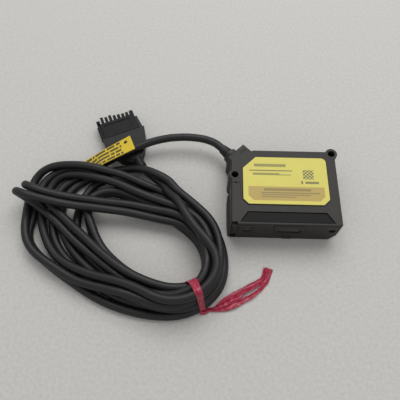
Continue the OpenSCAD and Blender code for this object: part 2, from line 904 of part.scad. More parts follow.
module plug_body() {
    pitch = plug_w / 9;
    color([0.13, 0.13, 0.14]) in_part() at_plug() difference() {
        union() {
            translate([-plug_w / 2, -plug_l, 0.4]) cube([plug_w, plug_l, plug_h - 0.4]);
            for (k = [0 : 8])
                translate([-plug_w / 2 + pitch * k + slot_w / 2, -1, 1.2])
                    cube([pitch - slot_w, 1 + FINGER_OUT[k], plug_h - 1.8]);
            // Rib along the free flank
            translate([-plug_w / 2 - 0.5, 1 - plug_l, 2.4]) cube([1, plug_l - 3, 2]);
        }
        // Contact slots, which are open upwards near the mating end
        for (k = [1 : contact_count]) {
            translate([-plug_w / 2 + pitch * k - slot_w / 2, -8, 2.4]) cube([slot_w, 12, 2.2]);
            translate([-plug_w / 2 + pitch * k - slot_w / 2, -2.4, 2.4]) cube([slot_w, 6, 8]);
        }
        // Sunk field and the step along the left edge of the top
        translate([-plug_w / 2 + 3, -10.5, plug_h - 0.3]) cube([plug_w - 6, 6.5, 1]);
        translate([-plug_w / 2 - 1, -plug_l - 1, plug_h - 0.9]) cube([2.6, plug_l - 0.5, 2]);
    }
}

module plug_hood() {
    top = plug_h - 0.2;
    color([0.12, 0.12, 0.12]) in_part() at_plug() {
        difference() {
            linear_extrude(top) hood_plan();
            // The flank's flange is lower than the hood
            translate([plug_w / 2 - eps, -plug_l, 5.4]) cube([6, plug_l, 4]);
            // The top falls towards the lead
            translate([-20, -plug_l, top]) rotate([7, 0, 0]) translate([0, -20, 0])
                cube([40, 20, 6]);
        }
        translate([sleeve_x, sleeve_y, sleeve_z]) rotate([0, 0, sleeve_turn])
            rotate([90, 0, 0]) cylinder(h = sleeve_len, r1 = 2.9, r2 = lead_d / 2 + 0.4);
    }
}

module plug_contacts() {
    pitch = plug_w / 9;
    color([0.82, 0.72, 0.4]) in_part() at_plug() for (k = [1 : contact_count])
        translate([-plug_w / 2 + pitch * k - 0.25, -8, 2.4]) cube([0.5, 7, 1.6]);
}

// Tag and tie

// Plate of the flag tag, which falls from its free right end towards the coil
module tag_plate() {
    translate([-50.4, 46.3, 11.2]) rotate([0, 0, 211.5]) rotate([0, 11, 0])
        difference() {
            translate([0, -tag_w / 2, 0]) cube([tag_l, tag_w, 0.4]);
            translate([3.4, -2.3, -1]) cylinder(h = 3, r = 1);
        }
}

module tag() {
    color([0.9, 0.76, 0.12]) in_part() tag_plate();
}

module at_tie() {
    translate([-14.6, -29.9, 0]) rotate([0, 0, -66]) children();
}

// Film wound once round the bundle
module tie_ring() {
    at_tie() difference() {
        translate([-tie_half - tie_film, -tie_w / 2, 0])
            cube([2 * (tie_half + tie_film), tie_w, coil_h + tie_film]);
        tie_inside();
    }
}

// Stretch of the bundle inside the film
module tie_inside() {
    translate([-tie_half, -tie_w, tie_film]) cube([2 * tie_half, 2 * tie_w, coil_h - tie_film]);
}

// What the tie takes away from the coil: its own film and all that is outside it
module tie_space() {
    at_tie() {
        translate([-12, -tie_w / 2, -1]) cube([24, tie_w, 1 + tie_film]);
        translate([-12, -tie_w / 2, -1]) cube([12 - tie_half, tie_w, coil_h + 3]);
        translate([tie_half, -tie_w / 2, -1]) cube([12 - tie_half, tie_w, coil_h + 3]);
    }
}

module tie_band() {
    color([0.72, 0.1, 0.22]) in_part() tie_ring();
}

// Knot and loose tail of the tie, which lies on the surface
module tie_tail() {
    color([0.74, 0.1, 0.24]) in_part() difference() {
        union() {
            linear_extrude(1) polygon([
                [-10.5, -36.4], [-6, -35.9], [-2, -36], [2.4, -34.2], [9.2, -30],
                [16.1, -25.2], [18.5, -22.4], [20.7, -16.4], [17, -15.4], [15.4, -20.1],
                [11.7, -21.8], [4.8, -26], [-3.4, -31.2], [-5.6, -33.9], [-10.5, -34.2]
            ]);
            at_tie() translate([tie_half, -1.5, 0]) cube([2.6, 3, 3]);
        }
        at_tie() translate([-12, -8, -1]) cube([12 + tie_half + tie_film, 16, 9]);
    }
}

rear_case();
front_cover();
case_seal();
emitter_window();
receiver_window();
indicator_lens();
label();
optics_frame();
laser_barrel();
laser_diode();
collimator_lens();
receiver_lens();
imager_board();
imager_chip();
main_board();
board_chips();
flex_strip();
board_screws();
frame_screws();
cable_gland();
cable_clamp();
core_wires();
lead_out();
lead_coil();
lead_in();
plug_body();
plug_hood();
plug_contacts();
tag();
tie_band();
tie_tail();
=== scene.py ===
"""Visual model of a compact laser displacement sensor head, with its lead, lead connector,
flag tag and film tie.

The file is laid out as a Blender add-on and is run as a script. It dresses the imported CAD
frame: sizes written as x, y, z in millimetres are in the case's own frame, with x right from
its left wall, y back from its front face and z up from the surface that it lies on.
"""

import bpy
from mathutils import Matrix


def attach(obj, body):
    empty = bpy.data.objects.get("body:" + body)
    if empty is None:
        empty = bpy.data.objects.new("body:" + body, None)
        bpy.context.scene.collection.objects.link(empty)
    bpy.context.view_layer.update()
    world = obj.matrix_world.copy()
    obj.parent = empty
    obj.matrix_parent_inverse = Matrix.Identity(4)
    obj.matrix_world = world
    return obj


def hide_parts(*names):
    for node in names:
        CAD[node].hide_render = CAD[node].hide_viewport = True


bl_info = {
    "name": "Laser Sensor Head",
    "version": (1, 0, 0),
    "blender": (4, 5, 0),
    "location": "3D View > Sidebar > Sensor Head",
    "description": "Builds the visual model of a laser sensor head with its lead and connector",
    "category": "Object",
}

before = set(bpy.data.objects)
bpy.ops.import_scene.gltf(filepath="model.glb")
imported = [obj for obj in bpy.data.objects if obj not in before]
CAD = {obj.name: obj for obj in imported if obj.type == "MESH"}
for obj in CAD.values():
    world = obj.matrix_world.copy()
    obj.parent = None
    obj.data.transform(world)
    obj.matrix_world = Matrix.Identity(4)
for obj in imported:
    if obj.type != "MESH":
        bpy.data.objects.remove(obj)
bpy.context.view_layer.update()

import math

import bmesh
import bpy
import numpy as np
from mathutils import Matrix, Vector, geometry, noise

MM = 0.001
CASE_CORNER = Vector((-24.8787, -21.4713, 0))


def place(x, y, z):
    """A point of the case's own frame, in millimetres, as a point of the part, in metres."""
    return (Vector((x, y, z)) + CASE_CORNER) * MM


def srgb(code):
    """Linear colour of an sRGB hex value."""
    values = [int(code[i:i + 2], 16) / 255 for i in (0, 2, 4)]
    return tuple(
        v / 12.92 if v <= 0.04045 else ((v + 0.055) / 1.055) ** 2.4 for v in values
    ) + (1.0,)


# Sizes and colours


class LeadSettings(bpy.types.PropertyGroup):
    diameter: bpy.props.FloatProperty(
        name="Diameter", description="Outer diameter of the lead", default=0.004,
        min=0.0036, max=0.0042, unit="LENGTH", precision=4)
    rounds: bpy.props.IntProperty(
        name="Settling rounds", description="Rounds in which the turns of the coil settle",
        default=320, min=50, max=600)
    colour: bpy.props.FloatVectorProperty(
        name="Jacket", description="Colour of the jacket", subtype="COLOR", size=4,
        default=srgb("171718"))


class CaseSettings(bpy.types.PropertyGroup):
    colour: bpy.props.FloatVectorProperty(
        name="Moulding", description="Colour of the case mouldings", subtype="COLOR", size=4,
        default=srgb("272522"))
    # Paler colour of the edges: partly wear from handling, partly a painted highlight along
    # them
    edge_wear_and_highlight: bpy.props.FloatVectorProperty(
        name="Worn edge", description="Colour of the edges where they are rubbed",
        subtype="COLOR", size=4, default=srgb("58564f"))
    label: bpy.props.FloatVectorProperty(
        name="Label", description="Ground colour of the label", subtype="COLOR", size=4,
        default=srgb("c7bc4c"))
    print_colour: bpy.props.FloatVectorProperty(
        name="Print", description="Colour of the label's print", subtype="COLOR", size=4,
        default=srgb("2e2a1c"))


class TagSettings(bpy.types.PropertyGroup):
    colour: bpy.props.FloatVectorProperty(
        name="Tag", description="Colour of the flag tag", subtype="COLOR", size=4,
        default=srgb("cdb01a"))
    thickness: bpy.props.FloatProperty(
        name="Tag thickness", description="Thickness of the flag tag", default=0.0003,
        min=0.0002, max=0.0004, unit="LENGTH", precision=4)


class TieSettings(bpy.types.PropertyGroup):
    colour: bpy.props.FloatVectorProperty(
        name="Tie", description="Colour of the film tie", subtype="COLOR", size=4,
        default=srgb("ca264e"))
    thickness: bpy.props.FloatProperty(
        name="Film thickness", description="Thickness of the tie's film", default=0.00012,
        min=0.00008, max=0.0003, unit="LENGTH", precision=5)


class StageSettings(bpy.types.PropertyGroup):
    floor: bpy.props.FloatVectorProperty(
        name="Floor", description="Colour of the floor", subtype="COLOR", size=4,
        default=srgb("bebcb8"))
    lamp: bpy.props.FloatProperty(
        name="Lamp power", description="Power of the large soft lamp, in watts",
        default=6.0, min=0.0, max=100.0)


GROUPS = {
    "lead": LeadSettings,
    "case": CaseSettings,
    "tag": TagSettings,
    "tie": TieSettings,
    "stage": StageSettings,
}


def chosen(group):
    """The settings of one group in this scene."""
    return getattr(bpy.context.scene, "sensor_head_" + group)


# Materials


def add(tree, kind, sockets=None, **settings):
    """Adds a node with its settings, and with a value or a link for each socket named."""
    node = tree.nodes.new(kind)
    for name, value in settings.items():
        setattr(node, name, value)
    for name, value in (sockets or {}).items():
        if isinstance(value, bpy.types.NodeSocket):
            tree.links.new(value, node.inputs[name])
        else:
            node.inputs[name].default_value = value
    return node


def blank(name, **shader):
    """A new material with one shader, whose sockets are named with _ for a space."""
    material = bpy.data.materials.new(name)
    material.use_nodes = True
    principled = material.node_tree.nodes["Principled BSDF"]
    for socket, value in shader.items():
        principled.inputs[socket.replace("_", " ")].default_value = value
    return material, material.node_tree


def surface(tree, colour, gloss, bump):
    """Links a colour, a gloss and a height to the shader of a material."""
    principled = tree.nodes["Principled BSDF"]
    tree.links.new(colour, principled.inputs["Base Color"])
    tree.links.new(gloss.outputs["Result"], principled.inputs["Roughness"])
    tree.links.new(bump.outputs["Normal"], principled.inputs["Normal"])


def finish_of(name, light, dark, patch, grain, depth, rough, edge=None, **shader):
    """A material whose colour drifts from light to dark over patches of a size in millimetres,
    with a grain of a size and a depth in millimetres in its height and in its gloss, which
    lies between the two values of rough. edge gives a colour, a radius in millimetres and a
    share for a paler line along the edges, partly wear from handling and partly a painted
    highlight."""
    material, tree = blank(name, **shader)
    coords = add(tree, "ShaderNodeTexCoord").outputs["Object"]
    patches = add(tree, "ShaderNodeTexNoise", {
        "Vector": coords, "Scale": 1000 / patch, "Detail": 4.0, "Roughness": 0.6})
    drift = add(tree, "ShaderNodeMapRange", {
        "Value": patches.outputs["Fac"], "From Min": 0.3, "From Max": 0.7})
    colour = add(tree, "ShaderNodeMix", {
        "Factor": drift.outputs["Result"], 6: light, 7: dark}, data_type="RGBA").outputs[2]
    pits = add(tree, "ShaderNodeTexNoise", {
        "Vector": coords, "Scale": 1000 / grain, "Detail": 3.0, "Roughness": 0.55})
    gloss = add(tree, "ShaderNodeMapRange", {
        "Value": pits.outputs["Fac"], "From Min": 0.3, "From Max": 0.7,
        "To Min": rough[0], "To Max": rough[1]})
    bump = add(tree, "ShaderNodeBump", {
        "Height": pits.outputs["Fac"], "Distance": depth * MM, "Strength": 1.0})
    if edge:
        rubbed_and_highlit, radius, share = edge
        rounded = add(tree, "ShaderNodeBevel", {"Radius": radius * MM}, samples=4)
        flat = add(tree, "ShaderNodeNewGeometry")
        turn = add(tree, "ShaderNodeVectorMath", {
            0: rounded.outputs["Normal"], 1: flat.outputs["Normal"]}, operation="DOT_PRODUCT")
        near = add(tree, "ShaderNodeMapRange", {
            "Value": turn.outputs["Value"], "From Min": 0.995, "From Max": 0.8,
            "To Min": 0.0, "To Max": share})
        # Painted highlight: the edges are made paler, partly as wear from handling and partly
        # to stand in for the light that they catch
        worn_and_highlit_edges = add(tree, "ShaderNodeMath", {
            0: near.outputs["Result"], 1: drift.outputs["Result"]}, operation="MULTIPLY")
        colour = add(tree, "ShaderNodeMix", {
            "Factor": worn_and_highlit_edges.outputs[0], 6: colour, 7: rubbed_and_highlit}, data_type="RGBA").outputs[2]
        tree.links.new(rounded.outputs["Normal"], bump.inputs["Normal"])
    surface(tree, colour, gloss, bump)
    return material


def toned(colour, share):
    """A linear colour at a share of its strength."""
    return tuple(c * share for c in colour[:3]) + (1.0,)


def case_moulding():
    # Glass-filled PBT from a spark-eroded mould. The eye sees an even dull dark grey with a
    # fine grain, and a paler line along the edges, partly wear where they were rubbed and
    # partly a painted highlight. The mould's 0.1 mm grain is drawn at 0.3 mm, so that it shows.
    base = tuple(chosen("case").colour)
    material = finish_of("case_moulding_pbt", base, toned(base, 0.84), 7.0, 0.3, 0.02,
                         (0.45, 0.62), edge=(tuple(chosen("case").edge_wear_and_highlight), 0.22, 0.45),
                         Specular_IOR_Level=0.3)
    tree = material.node_tree
    principled = tree.nodes["Principled BSDF"]
    coords = add(tree, "ShaderNodeTexCoord").outputs["Object"]
    colour = principled.inputs["Base Color"].links[0].from_socket

    # The tongue in the slot at the front edge shines less, and is darker to the eye
    tongue = boxed(tree, coords, (25.65, 3.95), (19.93, 2.65), slant=0.69)
    colour = add(tree, "ShaderNodeMix", {
        "Factor": tongue, 6: colour, 7: srgb("0e0e0d")}, data_type="RGBA").outputs[2]
    sheen = add(tree, "ShaderNodeMapRange", {"Value": tongue, "To Min": 0.3, "To Max": 0.14})
    tree.links.new(sheen.outputs["Result"], principled.inputs["Specular IOR Level"])

    # Painted shadow: dark lines on the front face below and beside the bezels of the two
    # windows, where the bezels shade the face. Each line is what an outer box has and an inner
    # one lacks, within a third. Across is x and up is z.
    axes = add(tree, "ShaderNodeSeparateXYZ", {"Vector": coords})
    up = add(tree, "ShaderNodeMath", {
        0: axes.outputs["Z"], 1: CASE_CORNER.y * MM}, operation="ADD")
    face = add(tree, "ShaderNodeCombineXYZ", {"X": axes.outputs["X"], "Y": up.outputs[0]})
    at_front = add(tree, "ShaderNodeMath", {
        0: axes.outputs["Y"], 1: (CASE_CORNER.y + 0.7) * MM}, operation="LESS_THAN")
    bezel_shadow_lines = [
        (((27.4, 13.0), (7.9, 7.2), 3.2), ((27.4, 13.7), (7.1, 6.9), 3.0),
         ((27.4, 9.2), (9.0, 4.0))),
        (((5.45, 10.4), (4.6, 4.1), 0), ((4.75, 11.0), (4.5, 4.0), 0),
         ((8.6, 10.2), (2.2, 4.2))),
    ]
    for outer, inner, kept in bezel_shadow_lines:
        line = add(tree, "ShaderNodeMath", {
            0: boxed(tree, face.outputs[0], *outer), 1: boxed(tree, face.outputs[0], *inner)},
            operation="SUBTRACT", use_clamp=True)
        part = add(tree, "ShaderNodeMath", {
            0: line.outputs[0], 1: boxed(tree, face.outputs[0], *kept)}, operation="MULTIPLY")
        drawn = add(tree, "ShaderNodeMath", {
            0: part.outputs[0], 1: at_front.outputs[0]}, operation="MULTIPLY")
        # The painted shadow is mixed into the case's colour
        colour = add(tree, "ShaderNodeMix", {
            "Factor": drawn.outputs[0], 6: colour, 7: srgb("0b0b0b")},
            data_type="RGBA").outputs[2]
    tree.links.new(colour, principled.inputs["Base Color"])
    return material


def seal_rubber():
    # Moulded nitrile rubber, which is black and dull with a faint bloom
    return finish_of("seal_nitrile_rubber", srgb("2a2b2e"), srgb("232426"), 3.0, 0.25, 0.01,
                     (0.65, 0.8))


def filter_pane():
    # Long-pass acrylic filter. It looks almost black, with a deep red body colour and a
    # polished face.
    return finish_of("filter_dyed_acrylic", srgb("1c0a0d"), srgb("15080a"), 5.0, 1.5, 0.001,
                     (0.07, 0.12), IOR=1.49, Transmission_Weight=0.1)


def indicator_pane():
    # Frosted polycarbonate light pipe, smoky grey while the lamp is off
    return finish_of("indicator_frosted_polycarbonate", srgb("232522"), srgb("1c1e1b"), 2.0,
                     0.25, 0.008, (0.5, 0.62), IOR=1.58, Transmission_Weight=0.1,
                     Specular_IOR_Level=0.2)


def cast_metal():
    # Pressure-cast aluminium, which has a soft grey sheen and flow marks
    return finish_of("frame_cast_aluminium", srgb("b4b5b7"), srgb("989a9d"), 4.0, 0.4, 0.02,
                     (0.4, 0.6), Metallic=1.0)


def turned_brass():
    # Turned brass. Rings from the tool, 0.1 mm apart, are drawn 0.6 mm apart.
    material, tree = blank("barrel_turned_brass", Metallic=1.0)
    coords = add(tree, "ShaderNodeTexCoord").outputs["Object"]
    rings = add(tree, "ShaderNodeTexWave", {
        "Vector": coords, "Scale": 1000 / 0.3 / 6.28, "Distortion": 0.6, "Detail": 2.0},
        wave_type="BANDS", bands_direction="Y")
    patches = add(tree, "ShaderNodeTexNoise", {"Vector": coords, "Scale": 1000 / 3.0})
    colour = add(tree, "ShaderNodeMix", {
        "Factor": patches.outputs["Fac"], 6: srgb("c9ab62"), 7: srgb("b08f48")},
        data_type="RGBA")
    gloss = add(tree, "ShaderNodeMapRange", {
        "Value": rings.outputs["Fac"], "To Min": 0.22, "To Max": 0.38})
    bump = add(tree, "ShaderNodeBump", {
        "Height": rings.outputs["Fac"], "Distance": 0.01 * MM})
    surface(tree, colour.outputs[2], gloss, bump)
    return material


def plated_can():
    # Gold-plated steel can of the diode, with a bright even face
    return finish_of("diode_gold_plated_steel", srgb("d8c184"), srgb("c6ab69"), 1.5, 0.3,
                     0.003, (0.18, 0.3), Metallic=1.0)


def lens_glass():
    # Polished optical glass with its coating, clear with a faint cool tint
    return finish_of("lens_coated_glass", srgb("e3edf0"), srgb("d8e4ea"), 6.0, 2.0, 0.0005,
                     (0.02, 0.04), IOR=1.52, Transmission_Weight=0.95)


def circuit_board():
    # Green solder mask over glass cloth. The cloth's 0.4 mm weave shows through as a check.
    material, tree = blank("board_solder_mask", IOR=1.5, Coat_Weight=0.3)
    coords = add(tree, "ShaderNodeTexCoord").outputs["Object"]
    weave = add(tree, "ShaderNodeTexChecker", {
        "Vector": coords, "Scale": 1000 / 0.4, "Color1": srgb("1f5b3a"),
        "Color2": srgb("1b5234")})
    patches = add(tree, "ShaderNodeTexNoise", {"Vector": coords, "Scale": 1000 / 2.5})
    colour = add(tree, "ShaderNodeMix", {
        "Factor": patches.outputs["Fac"], 6: weave.outputs["Color"], 7: srgb("174a2e")},
        data_type="RGBA")
    gloss = add(tree, "ShaderNodeMapRange", {
        "Value": patches.outputs["Fac"], "To Min": 0.25, "To Max": 0.42})
    bump = add(tree, "ShaderNodeBump", {
        "Height": weave.outputs["Fac"], "Distance": 0.006 * MM})
    surface(tree, colour.outputs[2], gloss, bump)
    return material


def chip_epoxy():
    # Moulded epoxy packages, dull black with a fine sand grain
    return finish_of("chip_moulded_epoxy", srgb("2c2c2f"), srgb("252527"), 2.0, 0.15, 0.006,
                     (0.5, 0.65))


def flex_film():
    # Polyimide film, which is amber and half glossy
    return finish_of("flex_polyimide_film", srgb("b97a2c"), srgb("a86a22"), 2.0, 0.5, 0.003,
                     (0.25, 0.4), IOR=1.6)


def zinc_screw():
    # Zinc-plated steel screws, bluish bright with rubbed recesses
    return finish_of("screw_zinc_plated_steel", srgb("b9bec4"), srgb("9fa5ac"), 1.2, 0.2,
                     0.005, (0.25, 0.42), Metallic=1.0)


def gland_moulding():
    # Soft PVC moulded round the lead, satin and a little darker than the case
    # Its paler edge colour is partly wear from handling, partly a painted highlight
    return finish_of("gland_moulded_pvc", srgb("242423"), srgb("1e1e1d"), 4.0, 0.3, 0.012,
                     (0.38, 0.55), edge=(srgb("46453f"), 0.15, 0.35), Specular_IOR_Level=0.35)


def crimped_metal():
    # Nickel-plated brass, pressed, with a soft shine
    return finish_of("clamp_nickel_plated_brass", srgb("c0bdb4"), srgb("a9a69d"), 1.5, 0.25,
                     0.006, (0.28, 0.42), Metallic=1.0)


def core_colours():
    # PVC insulation of the five cores, one colour for each
    material, tree = blank("core_pvc_insulation", IOR=1.53)
    island = add(tree, "ShaderNodeNewGeometry").outputs["Random Per Island"]
    ramp = add(tree, "ShaderNodeValToRGB", {"Fac": island})
    ramp.color_ramp.interpolation = "CONSTANT"
    shades = ["6b3f24", "2f5fa8", "26262a", "d9d9d4", "d77a2c"]
    while len(ramp.color_ramp.elements) < len(shades):
        ramp.color_ramp.elements.new(0.5)
    for k, shade in enumerate(shades):
        ramp.color_ramp.elements[k].position = k / len(shades)
        ramp.color_ramp.elements[k].color = srgb(shade)
    coords = add(tree, "ShaderNodeTexCoord").outputs["Object"]
    skin = add(tree, "ShaderNodeTexNoise", {"Vector": coords, "Scale": 1000 / 0.5})
    gloss = add(tree, "ShaderNodeMapRange", {
        "Value": skin.outputs["Fac"], "To Min": 0.32, "To Max": 0.5})
    bump = add(tree, "ShaderNodeBump", {"Height": skin.outputs["Fac"], "Distance": 0.004 * MM})
    surface(tree, ramp.outputs["Color"], gloss, bump)
    return material


def lead_jacket():
    # Extruded oil-resistant PVC. It is a satin charcoal, with handling marks that change the
    # gloss from place to place.
    base = tuple(chosen("lead").colour)
    return finish_of("lead_jacket_pvc", base, toned(base, 0.8), 9.0, 0.8, 0.012, (0.4, 0.56),
                     IOR=1.53, Specular_IOR_Level=0.33)


def plug_moulding():
    # Glass-filled nylon with a spark-eroded face and sharp moulded edges
    # Its paler edge colour is partly wear from handling, partly a painted highlight
    return finish_of("plug_moulded_nylon", srgb("161617"), srgb("111112"), 4.0, 0.25, 0.015,
                     (0.45, 0.6), edge=(srgb("404042"), 0.15, 0.4), Specular_IOR_Level=0.16)


def hood_moulding():
    # Nylon hood, smoother than the body, so that its slopes catch the lamp
    # Its paler edge colour is partly wear from handling, partly a painted highlight
    return finish_of("hood_moulded_nylon", srgb("161617"), srgb("111112"), 5.0, 0.35, 0.012,
                     (0.36, 0.5), edge=(srgb("3e3e40"), 0.2, 0.35), Specular_IOR_Level=0.2)


def contact_metal():
    # Phosphor bronze with a gold flash
    return finish_of("contact_gold_flash", srgb("cfae63"), srgb("bd9a4f"), 1.0, 0.2, 0.003,
                     (0.2, 0.34), Metallic=1.0)


def boxed(tree, coords, centre, half, cut=0.0, slant=0.0):
    """A mask that is 1 in a box of the x and y of coords, in millimetres in the case's frame.
    Its two lower corners are cut off at 45 degrees by cut, and its sides lean inwards by
    slant for each millimetre of its height."""
    middle = place(centre[0], centre[1], 0)
    away = add(tree, "ShaderNodeVectorMath", {0: coords, 1: middle}, operation="SUBTRACT")
    apart = add(tree, "ShaderNodeVectorMath", {0: away.outputs[0]}, operation="ABSOLUTE")
    signed = add(tree, "ShaderNodeSeparateXYZ", {"Vector": away.outputs[0]})
    axes = add(tree, "ShaderNodeSeparateXYZ", {"Vector": apart.outputs[0]})
    leaning = add(tree, "ShaderNodeMath", {
        0: signed.outputs["Y"], 1: slant, 2: axes.outputs["X"]}, operation="MULTIPLY_ADD")
    in_x = add(tree, "ShaderNodeMath", {
        0: leaning.outputs[0], 1: half[0] * MM}, operation="LESS_THAN")
    in_y = add(tree, "ShaderNodeMath", {
        0: axes.outputs["Y"], 1: half[1] * MM}, operation="LESS_THAN")
    both = add(tree, "ShaderNodeMath", {
        0: in_x.outputs[0], 1: in_y.outputs[0]}, operation="MULTIPLY")
    below = add(tree, "ShaderNodeMath", {
        0: axes.outputs["X"], 1: signed.outputs["Y"]}, operation="SUBTRACT")
    in_cut = add(tree, "ShaderNodeMath", {
        0: below.outputs[0], 1: (half[0] + half[1] - cut) * MM}, operation="LESS_THAN")
    return add(tree, "ShaderNodeMath", {
        0: both.outputs[0], 1: in_cut.outputs[0]}, operation="MULTIPLY").outputs[0]


def label_film():
    # Screen-printed polyester film with a matt face. Its print is plain bars and rules, which
    # carry no words.
    material, tree = blank("label_polyester_film", IOR=1.5)
    coords = add(tree, "ShaderNodeTexCoord").outputs["Object"]
    ground = tuple(chosen("case").label)
    ink = tuple(chosen("case").print_colour)
    cloud = add(tree, "ShaderNodeTexNoise", {
        "Vector": coords, "Scale": 1000 / 6.0, "Detail": 3.0})
    colour = add(tree, "ShaderNodeMix", {
        "Factor": cloud.outputs["Fac"], 6: ground, 7: toned(ground, 0.9)},
        data_type="RGBA").outputs[2]
    # The square is filled with an even check of 0.85 mm fields
    check = add(tree, "ShaderNodeTexChecker", {"Vector": coords, "Scale": 1000 / 0.85})
    printed = [
        ((25.85, 15.75), (17.75, 3.65), 2.4, srgb("a0863a"), 0.92),
        ((18.85, 28.0), (10.2, 0.26), 0, ink, 0.9),
        ((18.6, 30.9), (7.6, 0.8), 0, ink, 0.62),
        ((16.6, 26.1), (6.3, 0.62), 0, ink, 0.62),
        ((25.6, 25.8), (2.9, 0.5), 0, ink, 0.36),
        ((36.6, 26.1), (2.55, 2.55), 0, ink, check.outputs["Fac"]),
        ((33.4, 21.8), (0.35, 0.85), 0, ink, 0.95),
        ((38.1, 21.8), (3.2, 0.62), 0, ink, 0.75),
        ((26.3, 17.8), (11.0, 0.65), 0, ink, 0.48),
        ((27.6, 16.15), (13.6, 0.3), 0, ink, 0.5),
        ((25.6, 15.1), (11.4, 0.3), 0, ink, 0.46),
        ((22.2, 14.0), (8.0, 0.3), 0, ink, 0.46),
    ]
    for centre, half, cut, shade, strength in printed:
        mask = boxed(tree, coords, centre, half, cut)
        laid = add(tree, "ShaderNodeMath", {0: mask, 1: strength}, operation="MULTIPLY")
        colour = add(tree, "ShaderNodeMix", {
            "Factor": laid.outputs[0], 6: colour, 7: shade}, data_type="RGBA").outputs[2]
    tooth = add(tree, "ShaderNodeTexNoise", {
        "Vector": coords, "Scale": 1000 / 0.4, "Detail": 2.0})
    gloss = add(tree, "ShaderNodeMapRange", {
        "Value": tooth.outputs["Fac"], "To Min": 0.38, "To Max": 0.55})
    bump = add(tree, "ShaderNodeBump", {"Height": tooth.outputs["Fac"], "Distance": 0.006 * MM})
    surface(tree, colour, gloss, bump)
    return material


def tag_card():
    # Flexible yellow vinyl with rows of plain dashes printed across it
    material, tree = blank("tag_printed_vinyl", IOR=1.52)
    coords = add(tree, "ShaderNodeTexCoord").outputs["UV"]
    base = tuple(chosen("tag").colour)
    cloud = add(tree, "ShaderNodeTexNoise", {
        "Vector": coords, "Scale": 5.0, "Detail": 3.0})
    ground = add(tree, "ShaderNodeMix", {
        "Factor": cloud.outputs["Fac"], 6: base, 7: toned(base, 0.84)}, data_type="RGBA")
    axes = add(tree, "ShaderNodeSeparateXYZ", {"Vector": coords})
    # Four rows over the tag's width, in dashes 1 to 3 mm long
    rows = add(tree, "ShaderNodeMath", {0: axes.outputs["Y"], 1: 4.0}, operation="MULTIPLY")
    row = add(tree, "ShaderNodeMath", {0: rows.outputs[0]}, operation="FRACT")
    off_row = add(tree, "ShaderNodeMath", {0: row.outputs[0], 1: 0.5}, operation="SUBTRACT")
    near_row = add(tree, "ShaderNodeMath", {0: off_row.outputs[0]}, operation="ABSOLUTE")
    on_row = add(tree, "ShaderNodeMath", {
        0: near_row.outputs[0], 1: 0.31}, operation="LESS_THAN")
    number = add(tree, "ShaderNodeMath", {0: rows.outputs[0]}, operation="FLOOR")
    along = add(tree, "ShaderNodeCombineXYZ", {
        "X": axes.outputs["X"], "Y": number.outputs[0]})
    dashes = add(tree, "ShaderNodeTexNoise", {
        "Vector": along.outputs[0], "Scale": 22.0, "Detail": 0.0})
    dash = add(tree, "ShaderNodeMath", {
        0: dashes.outputs["Fac"], 1: 0.42}, operation="GREATER_THAN")
    from_end = add(tree, "ShaderNodeMath", {
        0: axes.outputs["X"], 1: 0.2}, operation="GREATER_THAN")
    inked = add(tree, "ShaderNodeMath", {
        0: on_row.outputs[0], 1: dash.outputs[0]}, operation="MULTIPLY")
    kept = add(tree, "ShaderNodeMath", {
        0: inked.outputs[0], 1: from_end.outputs[0]}, operation="MULTIPLY")
    laid = add(tree, "ShaderNodeMath", {0: kept.outputs[0], 1: 0.93}, operation="MULTIPLY")
    colour = add(tree, "ShaderNodeMix", {
        "Factor": laid.outputs[0], 6: ground.outputs[2], 7: srgb("3a300e")},
        data_type="RGBA")
    gloss = add(tree, "ShaderNodeMapRange", {
        "Value": cloud.outputs["Fac"], "To Min": 0.3, "To Max": 0.5})
    bump = add(tree, "ShaderNodeBump", {"Height": cloud.outputs["Fac"], "Distance": 0.05 * MM})
    surface(tree, colour.outputs[2], gloss, bump)
    return material


def tie_film():
    # Blown polyethylene film in a clear red. It is crumpled, so that it shines along its
    # creases and lets light through between them. Creases are 1 to 3 mm apart.
    base = tuple(chosen("tie").colour)
    material, tree = blank("tie_polyethylene_film", IOR=1.5, Transmission_Weight=0.4,
                           Subsurface_Weight=0.2, Subsurface_Scale=0.002)
    coords = add(tree, "ShaderNodeTexCoord").outputs["Object"]
    cloud = add(tree, "ShaderNodeTexNoise", {
        "Vector": coords, "Scale": 1000 / 4.0, "Detail": 4.0})
    colour = add(tree, "ShaderNodeMix", {
        "Factor": cloud.outputs["Fac"], 6: base, 7: toned(base, 0.75)}, data_type="RGBA")
    creases = add(tree, "ShaderNodeTexVoronoi", {
        "Vector": coords, "Scale": 1000 / 2.4}, feature="DISTANCE_TO_EDGE")
    fine = add(tree, "ShaderNodeTexNoise", {
        "Vector": coords, "Scale": 1000 / 1.3, "Detail": 2.0})
    height = add(tree, "ShaderNodeMath", {
        0: creases.outputs["Distance"], 1: fine.outputs["Fac"]}, operation="ADD")
    bump = add(tree, "ShaderNodeBump", {"Height": height.outputs[0], "Distance": 0.22 * MM})
    gloss = add(tree, "ShaderNodeMapRange", {
        "Value": fine.outputs["Fac"], "To Min": 0.2, "To Max": 0.4})
    surface(tree, colour.outputs[2], gloss, bump)
    return material


def floor_paper():
    # Pale matt board of pressed fibre, with a fine mottle
    tone = tuple(chosen("stage").floor)
    return finish_of("floor_matt_board", tone, toned(tone, 0.86), 1.5, 0.9, 0.05, (0.75, 0.9))


# Making pieces


def dress(material, slot, *nodes):
    """Gives CAD nodes their finished material."""
    for node in nodes:
        CAD[node].data.materials.clear()
        CAD[node].data.materials.append(material)


def merged(node):
    """A mesh like a CAD node's, with its loose triangles joined."""
    mesh = bmesh.new()
    mesh.from_mesh(CAD[node].data)
    bmesh.ops.remove_doubles(mesh, verts=mesh.verts, dist=0.002 * MM)
    bmesh.ops.dissolve_limit(mesh, angle_limit=math.radians(1), verts=mesh.verts,
                             edges=mesh.edges)
    return mesh


